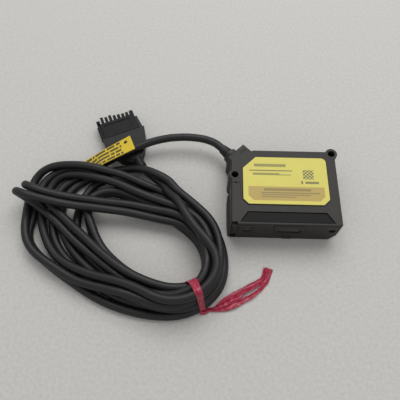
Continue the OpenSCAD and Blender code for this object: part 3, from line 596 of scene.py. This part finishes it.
def keep(mesh, name, material, node, smooth=40):
    """Makes a finished mesh a piece of the object, which stands for a CAD node and rides with
    the head. Edges are sharp past an angle of smooth, in degrees."""
    data = bpy.data.meshes.new(name)
    mesh.to_mesh(data)
    mesh.free()
    for face in data.polygons:
        face.use_smooth = True
    data.set_sharp_from_angle(angle=math.radians(smooth))
    data.materials.append(material)
    piece = bpy.data.objects.new(name, data)
    bpy.context.scene.collection.objects.link(piece)
    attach(piece, "root")
    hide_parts(node)
    return piece


def give_thickness(sheet, thickness):
    """Gives a sheet its thickness, half to each side."""
    wall = sheet.modifiers.new("thickness", "SOLIDIFY")
    wall.thickness = thickness
    wall.offset = 0


# The lead

# Distance between the points of its centre line, in millimetres
LEAD_STEP = 2.2

# Heights of the centre of a turn in the four rows of the bundle
A, B, C, D = 2.0, 5.6, 9.1, 12.2

# Outer and inner edge of the coil at 20 stations, anticlockwise from the left
OUTER = [
    (-97, 9), (-96.8, -3.8), (-87.2, -14), (-73.4, -23.2), (-58.9, -31.4), (-45.3, -36.2),
    (-32.6, -38.2), (-20.4, -37.4), (-9.9, -31.4), (-3.9, -23.8), (-2.4, -15.2), (-3.2, -7.4),
    (-6.6, 3), (-15.8, 11.4), (-27.4, 20.4), (-41, 22.6), (-53.5, 28.6), (-66, 33.4),
    (-86, 36.6), (-97.2, 27.5),
]
INNER = [
    (-66.8, 7), (-64.8, -1), (-58.6, -10.6), (-50.5, -17.6), (-42, -23.2), (-34.5, -26.6),
    (-27.5, -28), (-20.6, -27.6), (-15, -25.2), (-11.7, -21.3), (-10.8, -15.5), (-11.9, -8.6),
    (-17.2, -0.9), (-25, 4.7), (-33, 8.6), (-43, 11.5), (-53.4, 12.6), (-62.4, 13.4),
    (-66.3, 16.5), (-67, 11.5),
]
# A point amid the coil, which its edges are seen from
MIDDLE = np.array([-50.0, -2.0])

# Where each turn runs at stations 0 to 11: its share of the way from the outer to the inner
# edge, and its height, or a point x, y, z
DOWN = [
    [(.32, A), (.51, A), (.42, A), (.36, A), (.45, A), (.36, A), (.42, A)] + [(.5, A)] * 5,
    [(.03, A), (.02, A)] + [(0, A)] * 10,
    [(-96.9, 2.6, 5.6), (-96.3, -2.1, 5.8), (-94.4, -6.1, 5.8), (-91.8, -9.5, 5.8),
     (-88.5, -12.4, 5.8), (-84.2, -15.1, 5.8), (-80.2, -17.4, 5.8), (-76.1, -19.7, 5.8),
     (-72.1, -22, 6), (-67.2, -24, 6.4), (-62.4, -25.2, 7), (-57.7, -26.2, 7.6),
     (-53, -27.1, 8.2), (-48.4, -28.3, 8.8), (-43.8, -29.4, 9.4), (-39.3, -30.5, 9.8),
     (6, .4, C)] + [(.4, C)] * 5,
    [(.45, A), (.64, A), (.5, A), (.4, 3.5), (.3, B), (.28, B), (.22, B)] + [(.2, B)] * 5,
    [(.75, A), (.77, A), (.7, A), (.72, A), (.72, A), (.7, A), (.85, A)] + [(1, A)] * 5,
    [(1, A), (1, A), (1, A), (.97, A), (1, A), (.9, 3.5), (.8, B)] + [(.65, B)] * 5,
    [(1, 6), (1, 6), (.97, 6), (.93, B), (.96, B), (.95, 6.5), (1, B)] + [(1.1, B)] * 5,
    [(-93.3, 11.8, 8), (-88.6, 9, 7.6), (-83.1, 5.2, 7.6), (-79, 1.1, 7.8), (-74.5, -3.2, 8),
     (-69.1, -7.6, 8.2), (-63.9, -11.8, 8.6), (-58.7, -15.6, 9), (-53.7, -19.3, 9.4),
     (-48.8, -22.7, 9.6), (-44.1, -25.3, 9.8), (6, .78, 11.4)] + [(.95, D)] * 5,
    [(-88.8, 11.8, 8.4), (-85.2, 9.4, 8), (-80.7, 5.6, 8), (-76.3, 1.8, 8), (-72.5, -1.1, 8),
     (-67.2, -5.3, 8), (-62, -9.5, 8), (-56.8, -13.8, 8.2), (-51.8, -17.7, 8.8),
     (-46.8, -21, 9.4), (-42.1, -23.8, 9.6), (6, .95, 9.4)] + [(.95, C)] * 5,
    [(-94.7, 7.8, 4.6), (-92.3, 2.3, 5.4), (-89.6, -3, 5.8), (-86.1, -8, 6.2),
     (-83, -11.8, 6.6), (-79.8, -14.7, 7), (-76.1, -16.7, 7.5), (-72.1, -18.6, 8),
     (-67.1, -20.8, 8.6), (-62.3, -22.4, 9), (-57.6, -23.5, 9.4), (-53, -24.7, 9.8),
     (-48.4, -25.8, 10.2), (-43.8, -27.3, 10.6), (-39.3, -28.9, 11), (6, .5, D)]
    + [(.5, D)] * 4,
]
# The same at stations 12 to 19 for the turn that comes next
UP = {
    1: [(.4, A), (.37, A), (.33, A), (.25, A), (.12, 5.6), (.15, 5.5), (.17, 3.5), (.15, A)],
    2: [(.03, A), (.03, A), (-31.6, 17.3, 5.5), (-37.5, 19.8, 8), (-43.9, 22.1, 9.5),
        (-49.1, 25, 9.2), (-54.4, 27.4, 9), (-59.7, 28.8, 8.6), (-65.1, 30.5, 8.2),
        (-69.3, 31.5, 8), (-73.6, 32.4, 7.6), (-77.8, 33, 7.2), (-82.1, 33.4, 6.6),
        (-86.4, 33.6, 5.8), (-90.6, 33.2, 4.8), (-94.1, 32.4, 4), (-96.7, 30.4, 3.2),
        (-98.4, 27.5, 2.5), (-99, 23.8, 2.2), (-98.9, 18.4, 2.8), (-98.2, 12.3, 4),
        (-97.5, 7, 5)],
    3: [(.12, C), (.1, 8.8), (-23.2, 16.6, 7.8), (-29.2, 22, 6.3), (-33.5, 25.6, 6.2),
        (-38, 28.8, 6), (-43, 31.6, 5), (-48, 33.4, 3.5), (-53, 34.3, 2.3), (-59, 34, 2),
        (-65, 32.7, 2), (-70, 30.9, 2), (-74, 28.9, 2), (-77.5, 26.2, 2), (-80.2, 23.4, 2),
        (-82.2, 20.3, 2), (-83.4, 16.5, 2)],
    4: [(.5, B), (.5, B), (.45, B), (.3, B), (.1, A), (-59.5, 28, 2), (-63.4, 27.7, 2),
        (-66.8, 25.9, 2), (-69.4, 23.2, 2), (-71.4, 20.1, 2), (-72.8, 16.7, 2),
        (-73.9, 12.8, 2)],
    5: [(.9, A), (.75, A), (.78, A), (.6, A), (.36, A), (-57, 23.3, 2), (-61.3, 22.5, 2),
        (-64.6, 20.6, 2), (-67, 17.9, 2), (-68.6, 14.8, 2), (-69.3, 11.3, 2)],
    6: [(.9, B), (.8, B), (.72, B), (.6, B), (.42, B), (-56.5, 21.8, 5.6),
        (-61, 21.4, 5.6), (-64.8, 19.9, 5.6), (-67.7, 17.4, 5.6), (-69.5, 14.2, 5.6),
        (-70.2, 10.6, 5.6)],
    # Thrown over the others, and round on its edge at the left end
    7: [(1, 8.8), (1, 8), (-35.7, 6.3, 8), (-47.1, 8.1, 9.5), (-58.4, 8.6, 10.8),
        (-69.7, 9.1, 11.5), (-78.7, 9.8, 12.8), (-85.5, 10.6, 14.8), (-91.5, 11.4, 16.6),
        (-96.5, 12.5, 17.1), (-99.5, 14, 16.4), (-101.4, 15.6, 14.4), (-102, 16.6, 11.7),
        (-101.2, 16.8, 9), (-99.2, 16.2, 7.2), (-96.4, 14.6, 6.8)],
    8: [(.65, C), (.75, C), (-35.9, 9.2, 8.5), (-47.5, 11, 9), (-58.9, 11.5, 9.6),
        (-70.5, 12.7, 10.4), (-79.6, 13.8, 11.9), (-85, 14.2, 13.8), (-90, 14.8, 15.8),
        (-94.4, 15.8, 16.9), (-97.2, 17.4, 16.3), (-99.1, 19, 14.4), (-99.7, 20.1, 11.6),
        (-99, 20.3, 8.9), (-97, 19.8, 7), (-94, 18.4, 6.6), (-91.4, 15.6, 7.4)],
    9: [(.38, C), (.38, 8.6), (-31.4, 14.5, 8.6), (-40, 17.8, 9.3), (-48.7, 21.7, 9.5),
        (-54, 24.6, 9.2), (-59.3, 26.6, 8.8), (-64.6, 28.2, 8.4), (-68.8, 29.2, 8),
        (-73, 30, 7.5), (-77.3, 30.6, 6.8), (-81.6, 30.9, 6), (-85.3, 30.6, 5.2),
        (-88.6, 29.8, 4.6), (-91, 27.6, 4), (-92.6, 24.5, 3.6), (-93.6, 20.9, 3.6),
        (-94.5, 15.8, 3.8), (-95, 11.2, 4.2)],
    10: [(-11.6, -6.9, 12.2), (-14.5, -3.4, 12.2), (-16.8, 0, 12.2), (-19.3, 4, 12.2),
         (-21.8, 8.5, 11.6), (-23.9, 12.6, 10.6), (-25.5, 15.7, 9.6), (-28.2, 19.4, 8.2)],
}

# The way from the gland over the connector to the coil, and from the coil to the connector
LEAD_OUT = [
    (-3.74, 45.14, 8.25), (-5.15, 46.55, 8.3), (-7.9, 48.6, 8.5), (-12.3, 50.3, 8.7),
    (-17.5, 51.2, 8.8), (-23.1, 51.5, 8.8), (-29.9, 51, 8.7), (-35.3, 50.3, 8.5),
    (-40.2, 48.8, 8.3), (-45, 46.7, 8.1), (-49.6, 44.2, 7.9), (-54, 41.6, 7.7),
    (-58.4, 39.3, 7), (-62.6, 37.4, 5.2), (-66.7, 35.7, 3.6), (-71.5, 33.2, 2.4),
]
LEAD_IN = [
    (-30.9, 22.5, 6.8), (-33.7, 25.4, 5.6), (-36.4, 28, 4.6), (-39.2, 30.8, 3.8),
    (-42, 33.6, 3.2), (-44.5, 36.3, 3),
]


def at_station(number, share, height):
    """A point of a turn at one of the stations."""
    outer, inner = np.array(OUTER[number], float), np.array(INNER[number], float)
    across = outer + (inner - outer) * share
    return (across[0], across[1], height)


def lead_controls():
    """The points that the lead's centre line is drawn through, from the gland on. It joins the
    coil at station 18."""
    spots = [(18, .43, A), (19, .42, A)]
    for turn, lane in enumerate(DOWN):
        station = 0 if len(lane[0]) == 2 else 6
        for spot in lane + UP.get(turn + 1, []):
            spots.append((station, *spot) if len(spot) == 2 else spot)
            station = station + 1 if len(spot) == 2 else max(station, spot[0] + 1)
    # A turn drifts evenly from lane to lane
    on_lane = [spot[0] in range(len(OUTER)) for spot in spots]
    for _ in range(2):
        before = list(spots)
        for i in range(1, len(spots) - 1):
            if on_lane[i - 1] and on_lane[i] and on_lane[i + 1]:
                share, height = (
                    0.25 * before[i - 1][n] + 0.5 * before[i][n] + 0.25 * before[i + 1][n]
                    for n in (1, 2))
                spots[i] = (before[i][0], share, height)
    points = [at_station(*spot) if laid else spot for spot, laid in zip(spots, on_lane)]
    return np.array(LEAD_OUT + points + LEAD_IN, float)


def drawn_through(points, step):
    """Points every step along a centripetal curve through the given ones."""
    p = np.vstack([2 * points[0] - points[1], points, 2 * points[-1] - points[-2]])
    parts = []
    for i in range(1, len(p) - 2):
        a, b, c, d = p[i - 1:i + 3]
        t0 = 0.0
        t1 = math.sqrt(np.linalg.norm(b - a))
        t2 = t1 + math.sqrt(np.linalg.norm(c - b))
        t3 = t2 + math.sqrt(np.linalg.norm(d - c))
        t = np.linspace(t1, t2, 12, endpoint=False)[:, None]
        ab = (t1 - t) / (t1 - t0) * a + (t - t0) / (t1 - t0) * b
        bc = (t2 - t) / (t2 - t1) * b + (t - t1) / (t2 - t1) * c
        cd = (t3 - t) / (t3 - t2) * c + (t - t2) / (t3 - t2) * d
        left = (t2 - t) / (t2 - t0) * ab + (t - t0) / (t2 - t0) * bc
        right = (t3 - t) / (t3 - t1) * bc + (t - t1) / (t3 - t1) * cd
        parts.append((t2 - t) / (t2 - t1) * left + (t - t1) / (t2 - t1) * right)
    fine = np.vstack(parts + [p[-2][None]])
    run = np.r_[0, np.cumsum(np.linalg.norm(np.diff(fine, axis=0), axis=1))]
    at = np.linspace(0, run[-1], int(round(run[-1] / step)) + 1)
    return np.stack([np.interp(at, run, fine[:, k]) for k in range(3)], axis=1)


def edge_round(stations):
    """Angle and distance from the coil's middle along one of its edges."""
    c = np.array(stations, float) - MIDDLE
    ring = []
    for i in range(len(c)):
        a, b, n, m = c[i - 1], c[i], c[(i + 1) % len(c)], c[(i + 2) % len(c)]
        for t in np.linspace(0, 1, 8, endpoint=False):
            ring.append(0.5 * (2 * b + (n - a) * t + (2 * a - 5 * b + 4 * n - m) * t ** 2
                               + (3 * b - a - 3 * n + m) * t ** 3))
    ring = np.array(ring)
    angle = np.arctan2(ring[:, 1], ring[:, 0])
    order = np.argsort(angle)
    return angle[order], np.hypot(ring[:, 0], ring[:, 1])[order]


def settled(points, diameter, rounds):
    """Lets the turns settle: they push one another apart to a diameter, sink on to the surface
    and keep inside the coil's edges. Each shift spreads along the lead, which is stiff."""
    count = len(points)
    number = np.arange(count)
    bends = np.diff(np.eye(count), 2, axis=0)
    bends = bends.T @ bends
    outer, inner = edge_round(OUTER), edge_round(INNER)

    def evened(stiffness):
        return np.linalg.inv(np.eye(count) + stiffness * bends)

    def held(q, rest):
        # The ends stay in the gland and in the connector
        for end in (slice(14), slice(-8, None)):
            q[end] = rest[end]
        return q

    def edges_at(q):
        c = q[:, :2] - MIDDLE
        angle = np.arctan2(c[:, 1], c[:, 0])
        return (c, np.hypot(c[:, 0], c[:, 1]), np.interp(angle, *outer, period=2 * np.pi),
                np.interp(angle, *inner, period=2 * np.pi))

    # The room that two turns need, how far they sink in a round, how far they may run past
    # the coil's edges, and the height from which a loop stands on edge
    room, sink, overrun, on_edge = diameter * 1.01, 0.02, 0.5, 13.6
    home = held(evened(5.0) @ points, points)
    stiff = evened(60.0)
    p = home.copy()
    # Points that start between the coil's edges stay there, but for the two loops on edge
    c, reach, far, near = edges_at(p)
    laid = (reach < far + 0.8) & (reach > near - 2.5) & (p[:, 2] < on_edge)
    for k in range(rounds):
        if k % 8 == 0:
            # Which points could come to touch in the next rounds
            apart = ((p[:, None, :] - p[None, :, :]) ** 2).sum(-1)
            one, two = np.where((apart < (diameter * 1.9) ** 2)
                                & (number[None, :] - number[:, None] > 5))
        # The last rounds only push, and gently
        last = k > rounds - 12
        shift = p - home
        shift[:, 2] -= sink
        q = home + (shift if last else 0.992 * (stiff @ shift))
        between = q[two] - q[one]
        length = np.sqrt((between ** 2).sum(-1)) + 1e-9
        close = length < room
        push = (0.5 * (room - length[close]) / length[close])[:, None] * between[close]
        moved = np.zeros_like(q)
        hits = np.zeros(count)
        np.add.at(moved, one[close], -push)
        np.add.at(moved, two[close], push)
        np.add.at(hits, one[close], 1)
        np.add.at(hits, two[close], 1)
        q += moved / np.maximum(hits, 1)[:, None] * (0.5 if last else 1.6)
        q[:, 2] = np.maximum(q[:, 2], diameter / 2)
        c, reach, far, near = edges_at(q[laid])
        kept = np.clip(reach, near - overrun, far + overrun)
        q[laid, :2] = MIDDLE + c * (kept / reach)[:, None]
        p = held(q, home)
    soft = held(evened(2.0) @ p, p)
    soft[:, 2] = np.maximum(soft[:, 2], diameter / 2)
    return soft


def lead_line():
    """The centre line of the lead, in millimetres in the case's frame."""
    settings = chosen("lead")
    laid = drawn_through(lead_controls(), LEAD_STEP)
    return settled(laid, settings.diameter / MM, settings.rounds)


# Operators


class HeadOperator:
    """What the operators of this add-on share."""
    bl_options = {"REGISTER", "UNDO"}


class SENSORHEAD_OT_stage(HeadOperator, bpy.types.Operator):
    """Sets the pale floor, the soft lamp, the even room and the camera"""
    bl_idname = "sensor_head.stage"
    bl_label = "Stage"

    def execute(self, context):
        scene = context.scene
        mesh = bmesh.new()
        bmesh.ops.create_grid(mesh, x_segments=1, y_segments=1, size=2.5)
        data = bpy.data.meshes.new("floor")
        mesh.to_mesh(data)
        mesh.free()
        data.materials.append(floor_paper())
        floor = bpy.data.objects.new("floor", data)
        scene.collection.objects.link(floor)

        lamp = bpy.data.lights.new("soft_lamp", "AREA")
        lamp.shape = "RECTANGLE"
        lamp.size = 0.9
        lamp.size_y = 0.6
        lamp.energy = chosen("stage").lamp
        above = bpy.data.objects.new("soft_lamp", lamp)
        above.location = (0.06, 0.46, 0.8)
        toward = Vector((-0.03, 0, 0)) - above.location
        above.rotation_euler = toward.to_track_quat("-Z", "Y").to_euler()
        scene.collection.objects.link(above)

        world = bpy.data.worlds.new("even_room")
        world.use_nodes = True
        room = world.node_tree.nodes["Background"]
        room.inputs["Color"].default_value = srgb("f4f5f6")
        room.inputs["Strength"].default_value = 0.68
        scene.world = world

        view = bpy.data.cameras.new("camera")
        view.lens = 39.41
        view.sensor_width = 36
        camera = bpy.data.objects.new("camera", view)
        camera.location = (-0.03694, -0.0999, 0.19739)
        camera.rotation_euler = (math.radians(26.45), 0, math.radians(1.48))
        scene.collection.objects.link(camera)
        scene.camera = camera
        scene.view_settings.view_transform = "Standard"
        return {"FINISHED"}


class SENSORHEAD_OT_lead(HeadOperator, bpy.types.Operator):
    """Lays the lead from the gland through its coil to the connector"""
    bl_idname = "sensor_head.lead"
    bl_label = "Lead"

    def execute(self, context):
        settings = chosen("lead")
        line = [place(*point) for point in lead_line()]
        curve = bpy.data.curves.new("lead", "CURVE")
        curve.dimensions = "3D"
        spline = curve.splines.new("POLY")
        spline.points.add(len(line) - 1)
        for point, spot in zip(spline.points, line):
            point.co = (*spot, 1.0)
        spline.use_smooth = True
        curve.bevel_depth = settings.diameter / 2
        curve.bevel_resolution = 6
        curve.use_fill_caps = True
        curve.materials.append(lead_jacket())
        lead = bpy.data.objects.new("lead", curve)
        context.scene.collection.objects.link(lead)
        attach(lead, "root")
        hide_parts("lead_out", "lead_coil", "lead_in")
        return {"FINISHED"}


class SENSORHEAD_OT_case(HeadOperator, bpy.types.Operator):
    """Finishes the two mouldings of the case, their seal, windows and indicator"""
    bl_idname = "sensor_head.case"
    bl_label = "Case"

    def execute(self, context):
        dress(case_moulding(), "case_moulding", "rear_case", "front_cover")
        dress(seal_rubber(), "seal", "case_seal")
        dress(filter_pane(), "optical_filter", "emitter_window", "receiver_window")
        dress(indicator_pane(), "indicator", "indicator_lens")
        return {"FINISHED"}


class SENSORHEAD_OT_label(HeadOperator, bpy.types.Operator):
    """Prints the label with plain bars and rules"""
    bl_idname = "sensor_head.label"
    bl_label = "Label"

    def execute(self, context):
        dress(label_film(), "label_film", "label")
        return {"FINISHED"}


class SENSORHEAD_OT_inside(HeadOperator, bpy.types.Operator):
    """Finishes the optics, the boards and the cores inside the case"""
    bl_idname = "sensor_head.inside"
    bl_label = "Optics and boards"

    def execute(self, context):
        dress(cast_metal(), "cast_frame", "optics_frame")
        dress(turned_brass(), "barrel", "laser_barrel")
        dress(plated_can(), "diode_can", "laser_diode")
        dress(lens_glass(), "lens", "collimator_lens", "receiver_lens")
        dress(circuit_board(), "circuit_board", "imager_board", "main_board")
        dress(chip_epoxy(), "chip", "imager_chip", "board_chips")
        dress(flex_film(), "flex_film", "flex_strip")
        dress(zinc_screw(), "screw", "board_screws", "frame_screws")
        keep(merged("core_wires"), "core_wires_coloured", core_colours(),
             "core_wires")
        return {"FINISHED"}


class SENSORHEAD_OT_gland(HeadOperator, bpy.types.Operator):
    """Finishes the cable gland and its clamp"""
    bl_idname = "sensor_head.gland"
    bl_label = "Cable gland"

    def execute(self, context):
        dress(gland_moulding(), "gland", "cable_gland")
        dress(crimped_metal(), "clamp", "cable_clamp")
        return {"FINISHED"}


class SENSORHEAD_OT_connector(HeadOperator, bpy.types.Operator):
    """Finishes the lead's connector"""
    bl_idname = "sensor_head.connector"
    bl_label = "Connector"

    def execute(self, context):
        dress(plug_moulding(), "plug_moulding", "plug_body")
        dress(hood_moulding(), "hood_moulding", "plug_hood")
        dress(contact_metal(), "contact", "plug_contacts")
        return {"FINISHED"}


class SENSORHEAD_OT_tag(HeadOperator, bpy.types.Operator):
    """Makes the flag tag, which falls from its free end under the coil's top turn"""
    bl_idname = "sensor_head.tag"
    bl_label = "Flag tag"

    def execute(self, context):
        long, wide = 30.0, 10.1
        hole, hole_radius = Vector((3.4, -2.3, 0)), 1.0
        mesh = bmesh.new()
        bmesh.ops.create_grid(mesh, x_segments=60, y_segments=20, size=0.5, calc_uvs=True)
        uv = mesh.loops.layers.uv.verify()
        for face in mesh.faces:
            for loop in face.loops:
                loop[uv].uv = (loop.vert.co.x + 0.5, loop.vert.co.y + 0.5)
        for vert in mesh.verts:
            vert.co = Vector(((vert.co.x + 0.5) * long, vert.co.y * wide, 0))
        punched = [face for face in mesh.faces
                   if (face.calc_center_median() - hole).length < hole_radius]
        bmesh.ops.delete(mesh, geom=punched, context="FACES")
        for vert in mesh.verts:
            away = vert.co - hole
            if vert.is_boundary and away.length < hole_radius + 0.6:
                vert.co = hole + away.normalized() * hole_radius
        # It falls to the left, with a slight bow along it, a curl across it and a twist that
        # lifts its front edge. Its left end sinks under the coil.
        bow, curl, sink = 0.25, 0.15, 2.2
        for vert in mesh.verts:
            share, y = vert.co.x / long, vert.co.y
            sunk = min(max((share - 0.55) / 0.35, 0), 1)
            sunk *= sunk * (3 - 2 * sunk)
            twist = math.radians((12.5 + 10 * share) * (1 - sunk) + 6 * sunk)
            vert.co.y = y * math.cos(twist)
            vert.co.z = y * math.sin(twist) + bow * math.sin(math.pi * share) \
                + curl * (y / wide * 2) ** 2 - sink * sunk
        turn = Matrix.Rotation(math.radians(205.5), 4, "Z") \
            @ Matrix.Rotation(math.radians(13.5), 4, "Y")
        free_end = Vector((-49.5, 45.8, 11.6))
        for vert in mesh.verts:
            vert.co = place(*(turn @ vert.co + free_end))
        bmesh.ops.recalc_face_normals(mesh, faces=mesh.faces)
        tag = keep(mesh, "tag_card", tag_card(), "tag")
        give_thickness(tag, chosen("tag").thickness)
        return {"FINISHED"}


def bundle_hull(line, centre, across, along, clearance):
    """Outline of the turns that cross a plane, as points across and up, in millimetres. It
    keeps a clearance from their centres."""
    widest, corners = 14, 20
    ring = []
    for one, two in zip(line[:-1], line[1:]):
        a, b = one - centre, two - centre
        if a.dot(along) * b.dot(along) <= 0 and abs(a.dot(across)) < widest:
            middle = (a + b) / 2
            for k in range(corners):
                angle = 2 * math.pi * k / corners
                ring.append(Vector((middle.dot(across) + clearance * math.cos(angle),
                                    middle.z + clearance * math.sin(angle))))
    return [ring[k] for k in geometry.convex_hull_2d(ring)]


def evenly(points, count, closed=False):
    """A number of points evenly spaced along straight stretches between others."""
    p = np.array([tuple(v) for v in points], float)
    if closed:
        p = np.vstack([p, p[0]])
    run = np.r_[0, np.cumsum(np.linalg.norm(np.diff(p, axis=0), axis=1))]
    at = np.linspace(0, run[-1], count)
    return np.stack([np.interp(at, run, p[:, k]) for k in range(p.shape[1])], axis=1)


class SENSORHEAD_OT_tie(HeadOperator, bpy.types.Operator):
    """Winds the film tie round the bundle and lays its loose tail"""
    bl_idname = "sensor_head.tie"
    bl_label = "Film tie"

    def execute(self, context):
        film = tie_film()
        lead = bpy.data.objects["lead"]
        line = [Vector(p.co[:3]) / MM - CASE_CORNER for p in lead.data.splines[0].points]
        # It crosses the bundle at the coil's lower right end
        centre, mid_height = Vector((-14.6, -29.9, 0)), 7
        turn = math.radians(-66)
        across = Vector((math.cos(turn), math.sin(turn), 0))
        along = Vector((-math.sin(turn), math.cos(turn), 0))
        columns = 96
        hull = bundle_hull(line, centre, across, along, 2.15)
        hull = evenly(hull, columns + 1, closed=True)
        reach = max(abs(hull[:, 0]))

        # The band narrows towards its outer end, and flares at its upper inner end
        band = bmesh.new()
        bmesh.ops.create_grid(band, x_segments=columns, y_segments=12, size=0.5)
        for vert in band.verts:
            share, side = vert.co.x + 0.5, vert.co.y * 2
            x, z = hull[int(round(share * columns))]
            width = 3.4 - 0.9 * (x / reach) + 4.6 * max(-x / reach - 0.5, 0) * (z > 3)
            spot = centre + across * x + along * (side * width / 2) + Vector((0, 0, z))
            out = Vector((x, z - mid_height)).normalized()
            lift = 0.45 * abs(noise.noise(Vector((x * 0.5, z * 0.4, side * 2.2)))) \
                + 0.25 * abs(math.sin(side * 7 + x * 0.3)) * (z > 1)
            spot += (across * out.x + Vector((0, 0, out.y))) * lift
            spot.z = max(spot.z, 0.12)
            vert.co = place(*spot)
        bmesh.ops.remove_doubles(band, verts=band.verts, dist=0.01 * MM)
        bmesh.ops.recalc_face_normals(band, faces=band.faces)
        loop = keep(band, "tie_band_film", film, "tie_band", smooth=60)

        # The tail lies on the surface: x, y, width, and how high its middle stands
        stations = [
            (-13.6, -34.9, 2.4, 3.4), (-12.4, -35.8, 3.2, 3.2), (-10.8, -35.9, 2.2, 2.6),
            (-9.2, -35.2, 1.5, 1.6), (-6.4, -34.9, 2.4, 1.3), (-2.8, -33.3, 5.4, 1.4),
            (1.4, -31, 6.4, 1.8), (5.6, -28.6, 6.5, 1.4), (9.6, -26.2, 6.3, 2.0),
            (13.2, -23.8, 5.4, 1.6), (15.8, -21.4, 4.2, 1.3), (17.2, -18.6, 3.8, 1.6),
            (18.2, -15.4, 4.4, 1.0),
        ]
        columns = 120
        fine = evenly(stations, columns + 1)
        tail = bmesh.new()
        bmesh.ops.create_grid(tail, x_segments=columns, y_segments=24, size=0.5)
        # An open slit runs along the half that ends free
        slit = []
        for face in tail.faces:
            middle = face.calc_center_median()
            from_middle = (middle.x - 0.16) / 0.16
            if abs(middle.y + 0.1) < 0.11 * (1 - from_middle ** 2):
                slit.append(face)
        bmesh.ops.delete(tail, geom=slit, context="FACES")
        for vert in tail.verts:
            k, side = int(round((vert.co.x + 0.5) * columns)), vert.co.y * 2
            x, y, width, height = fine[k]
            before, after = fine[max(k - 3, 0)], fine[min(k + 3, columns)]
            way = Vector((after[0] - before[0], after[1] - before[1], 0)).normalized()
            beside = Vector((-way.y, way.x, 0))
            fold = abs(math.sin(side * 3.4 + k * 0.03)) * 0.6 + 0.4 * (1 - side * side)
            ripple = noise.noise(Vector((k * 0.09, side * 2.6, 4.0)))
            spot = Vector((x, y, 0.15 + height * fold * 0.8 + 0.5 * abs(ripple))) \
                + beside * (side * width / 2 + 0.3 * ripple)
            vert.co = place(*spot)
        bmesh.ops.recalc_face_normals(tail, faces=tail.faces)
        end = keep(tail, "tie_tail_film", film, "tie_tail", smooth=60)
        for piece in (loop, end):
            give_thickness(piece, chosen("tie").thickness)
        return {"FINISHED"}


class SENSORHEAD_OT_declare(HeadOperator, bpy.types.Operator):
    bl_idname = "sensor_head.declare"
    bl_label = "Declare the lead"

    def execute(self, context):
        chosen("lead").diameter
        return {"FINISHED"}


class SENSORHEAD_PT_panel(bpy.types.Panel):
    """Lists the pieces of the sensor head"""
    bl_idname = "SENSORHEAD_PT_panel"
    bl_label = "Sensor Head"
    bl_space_type = "VIEW_3D"
    bl_region_type = "UI"
    bl_category = "Sensor Head"

    def draw(self, context):
        for operator in OPERATORS:
            self.layout.operator(operator.bl_idname)
        for group, kind in GROUPS.items():
            box = self.layout.box()
            for name in kind.__annotations__:
                box.prop(chosen(group), name)


OPERATORS = [
    SENSORHEAD_OT_stage, SENSORHEAD_OT_lead, SENSORHEAD_OT_case, SENSORHEAD_OT_label,
    SENSORHEAD_OT_inside, SENSORHEAD_OT_gland, SENSORHEAD_OT_connector, SENSORHEAD_OT_tag,
    SENSORHEAD_OT_tie, SENSORHEAD_OT_declare,
]


def register():
    for kind in [*GROUPS.values(), *OPERATORS, SENSORHEAD_PT_panel]:
        bpy.utils.register_class(kind)
    for group, kind in GROUPS.items():
        setattr(bpy.types.Scene, "sensor_head_" + group,
                bpy.props.PointerProperty(type=kind))


def unregister():
    for group in GROUPS:
        delattr(bpy.types.Scene, "sensor_head_" + group)
    for kind in reversed([*GROUPS.values(), *OPERATORS, SENSORHEAD_PT_panel]):
        bpy.utils.unregister_class(kind)


def main():
    register()
    for operator in OPERATORS:
        name = operator.bl_idname.split(".")[1]
        getattr(bpy.ops.sensor_head, name)()
    bpy.context.view_layer.update()


if __name__ == "__main__":
    main()
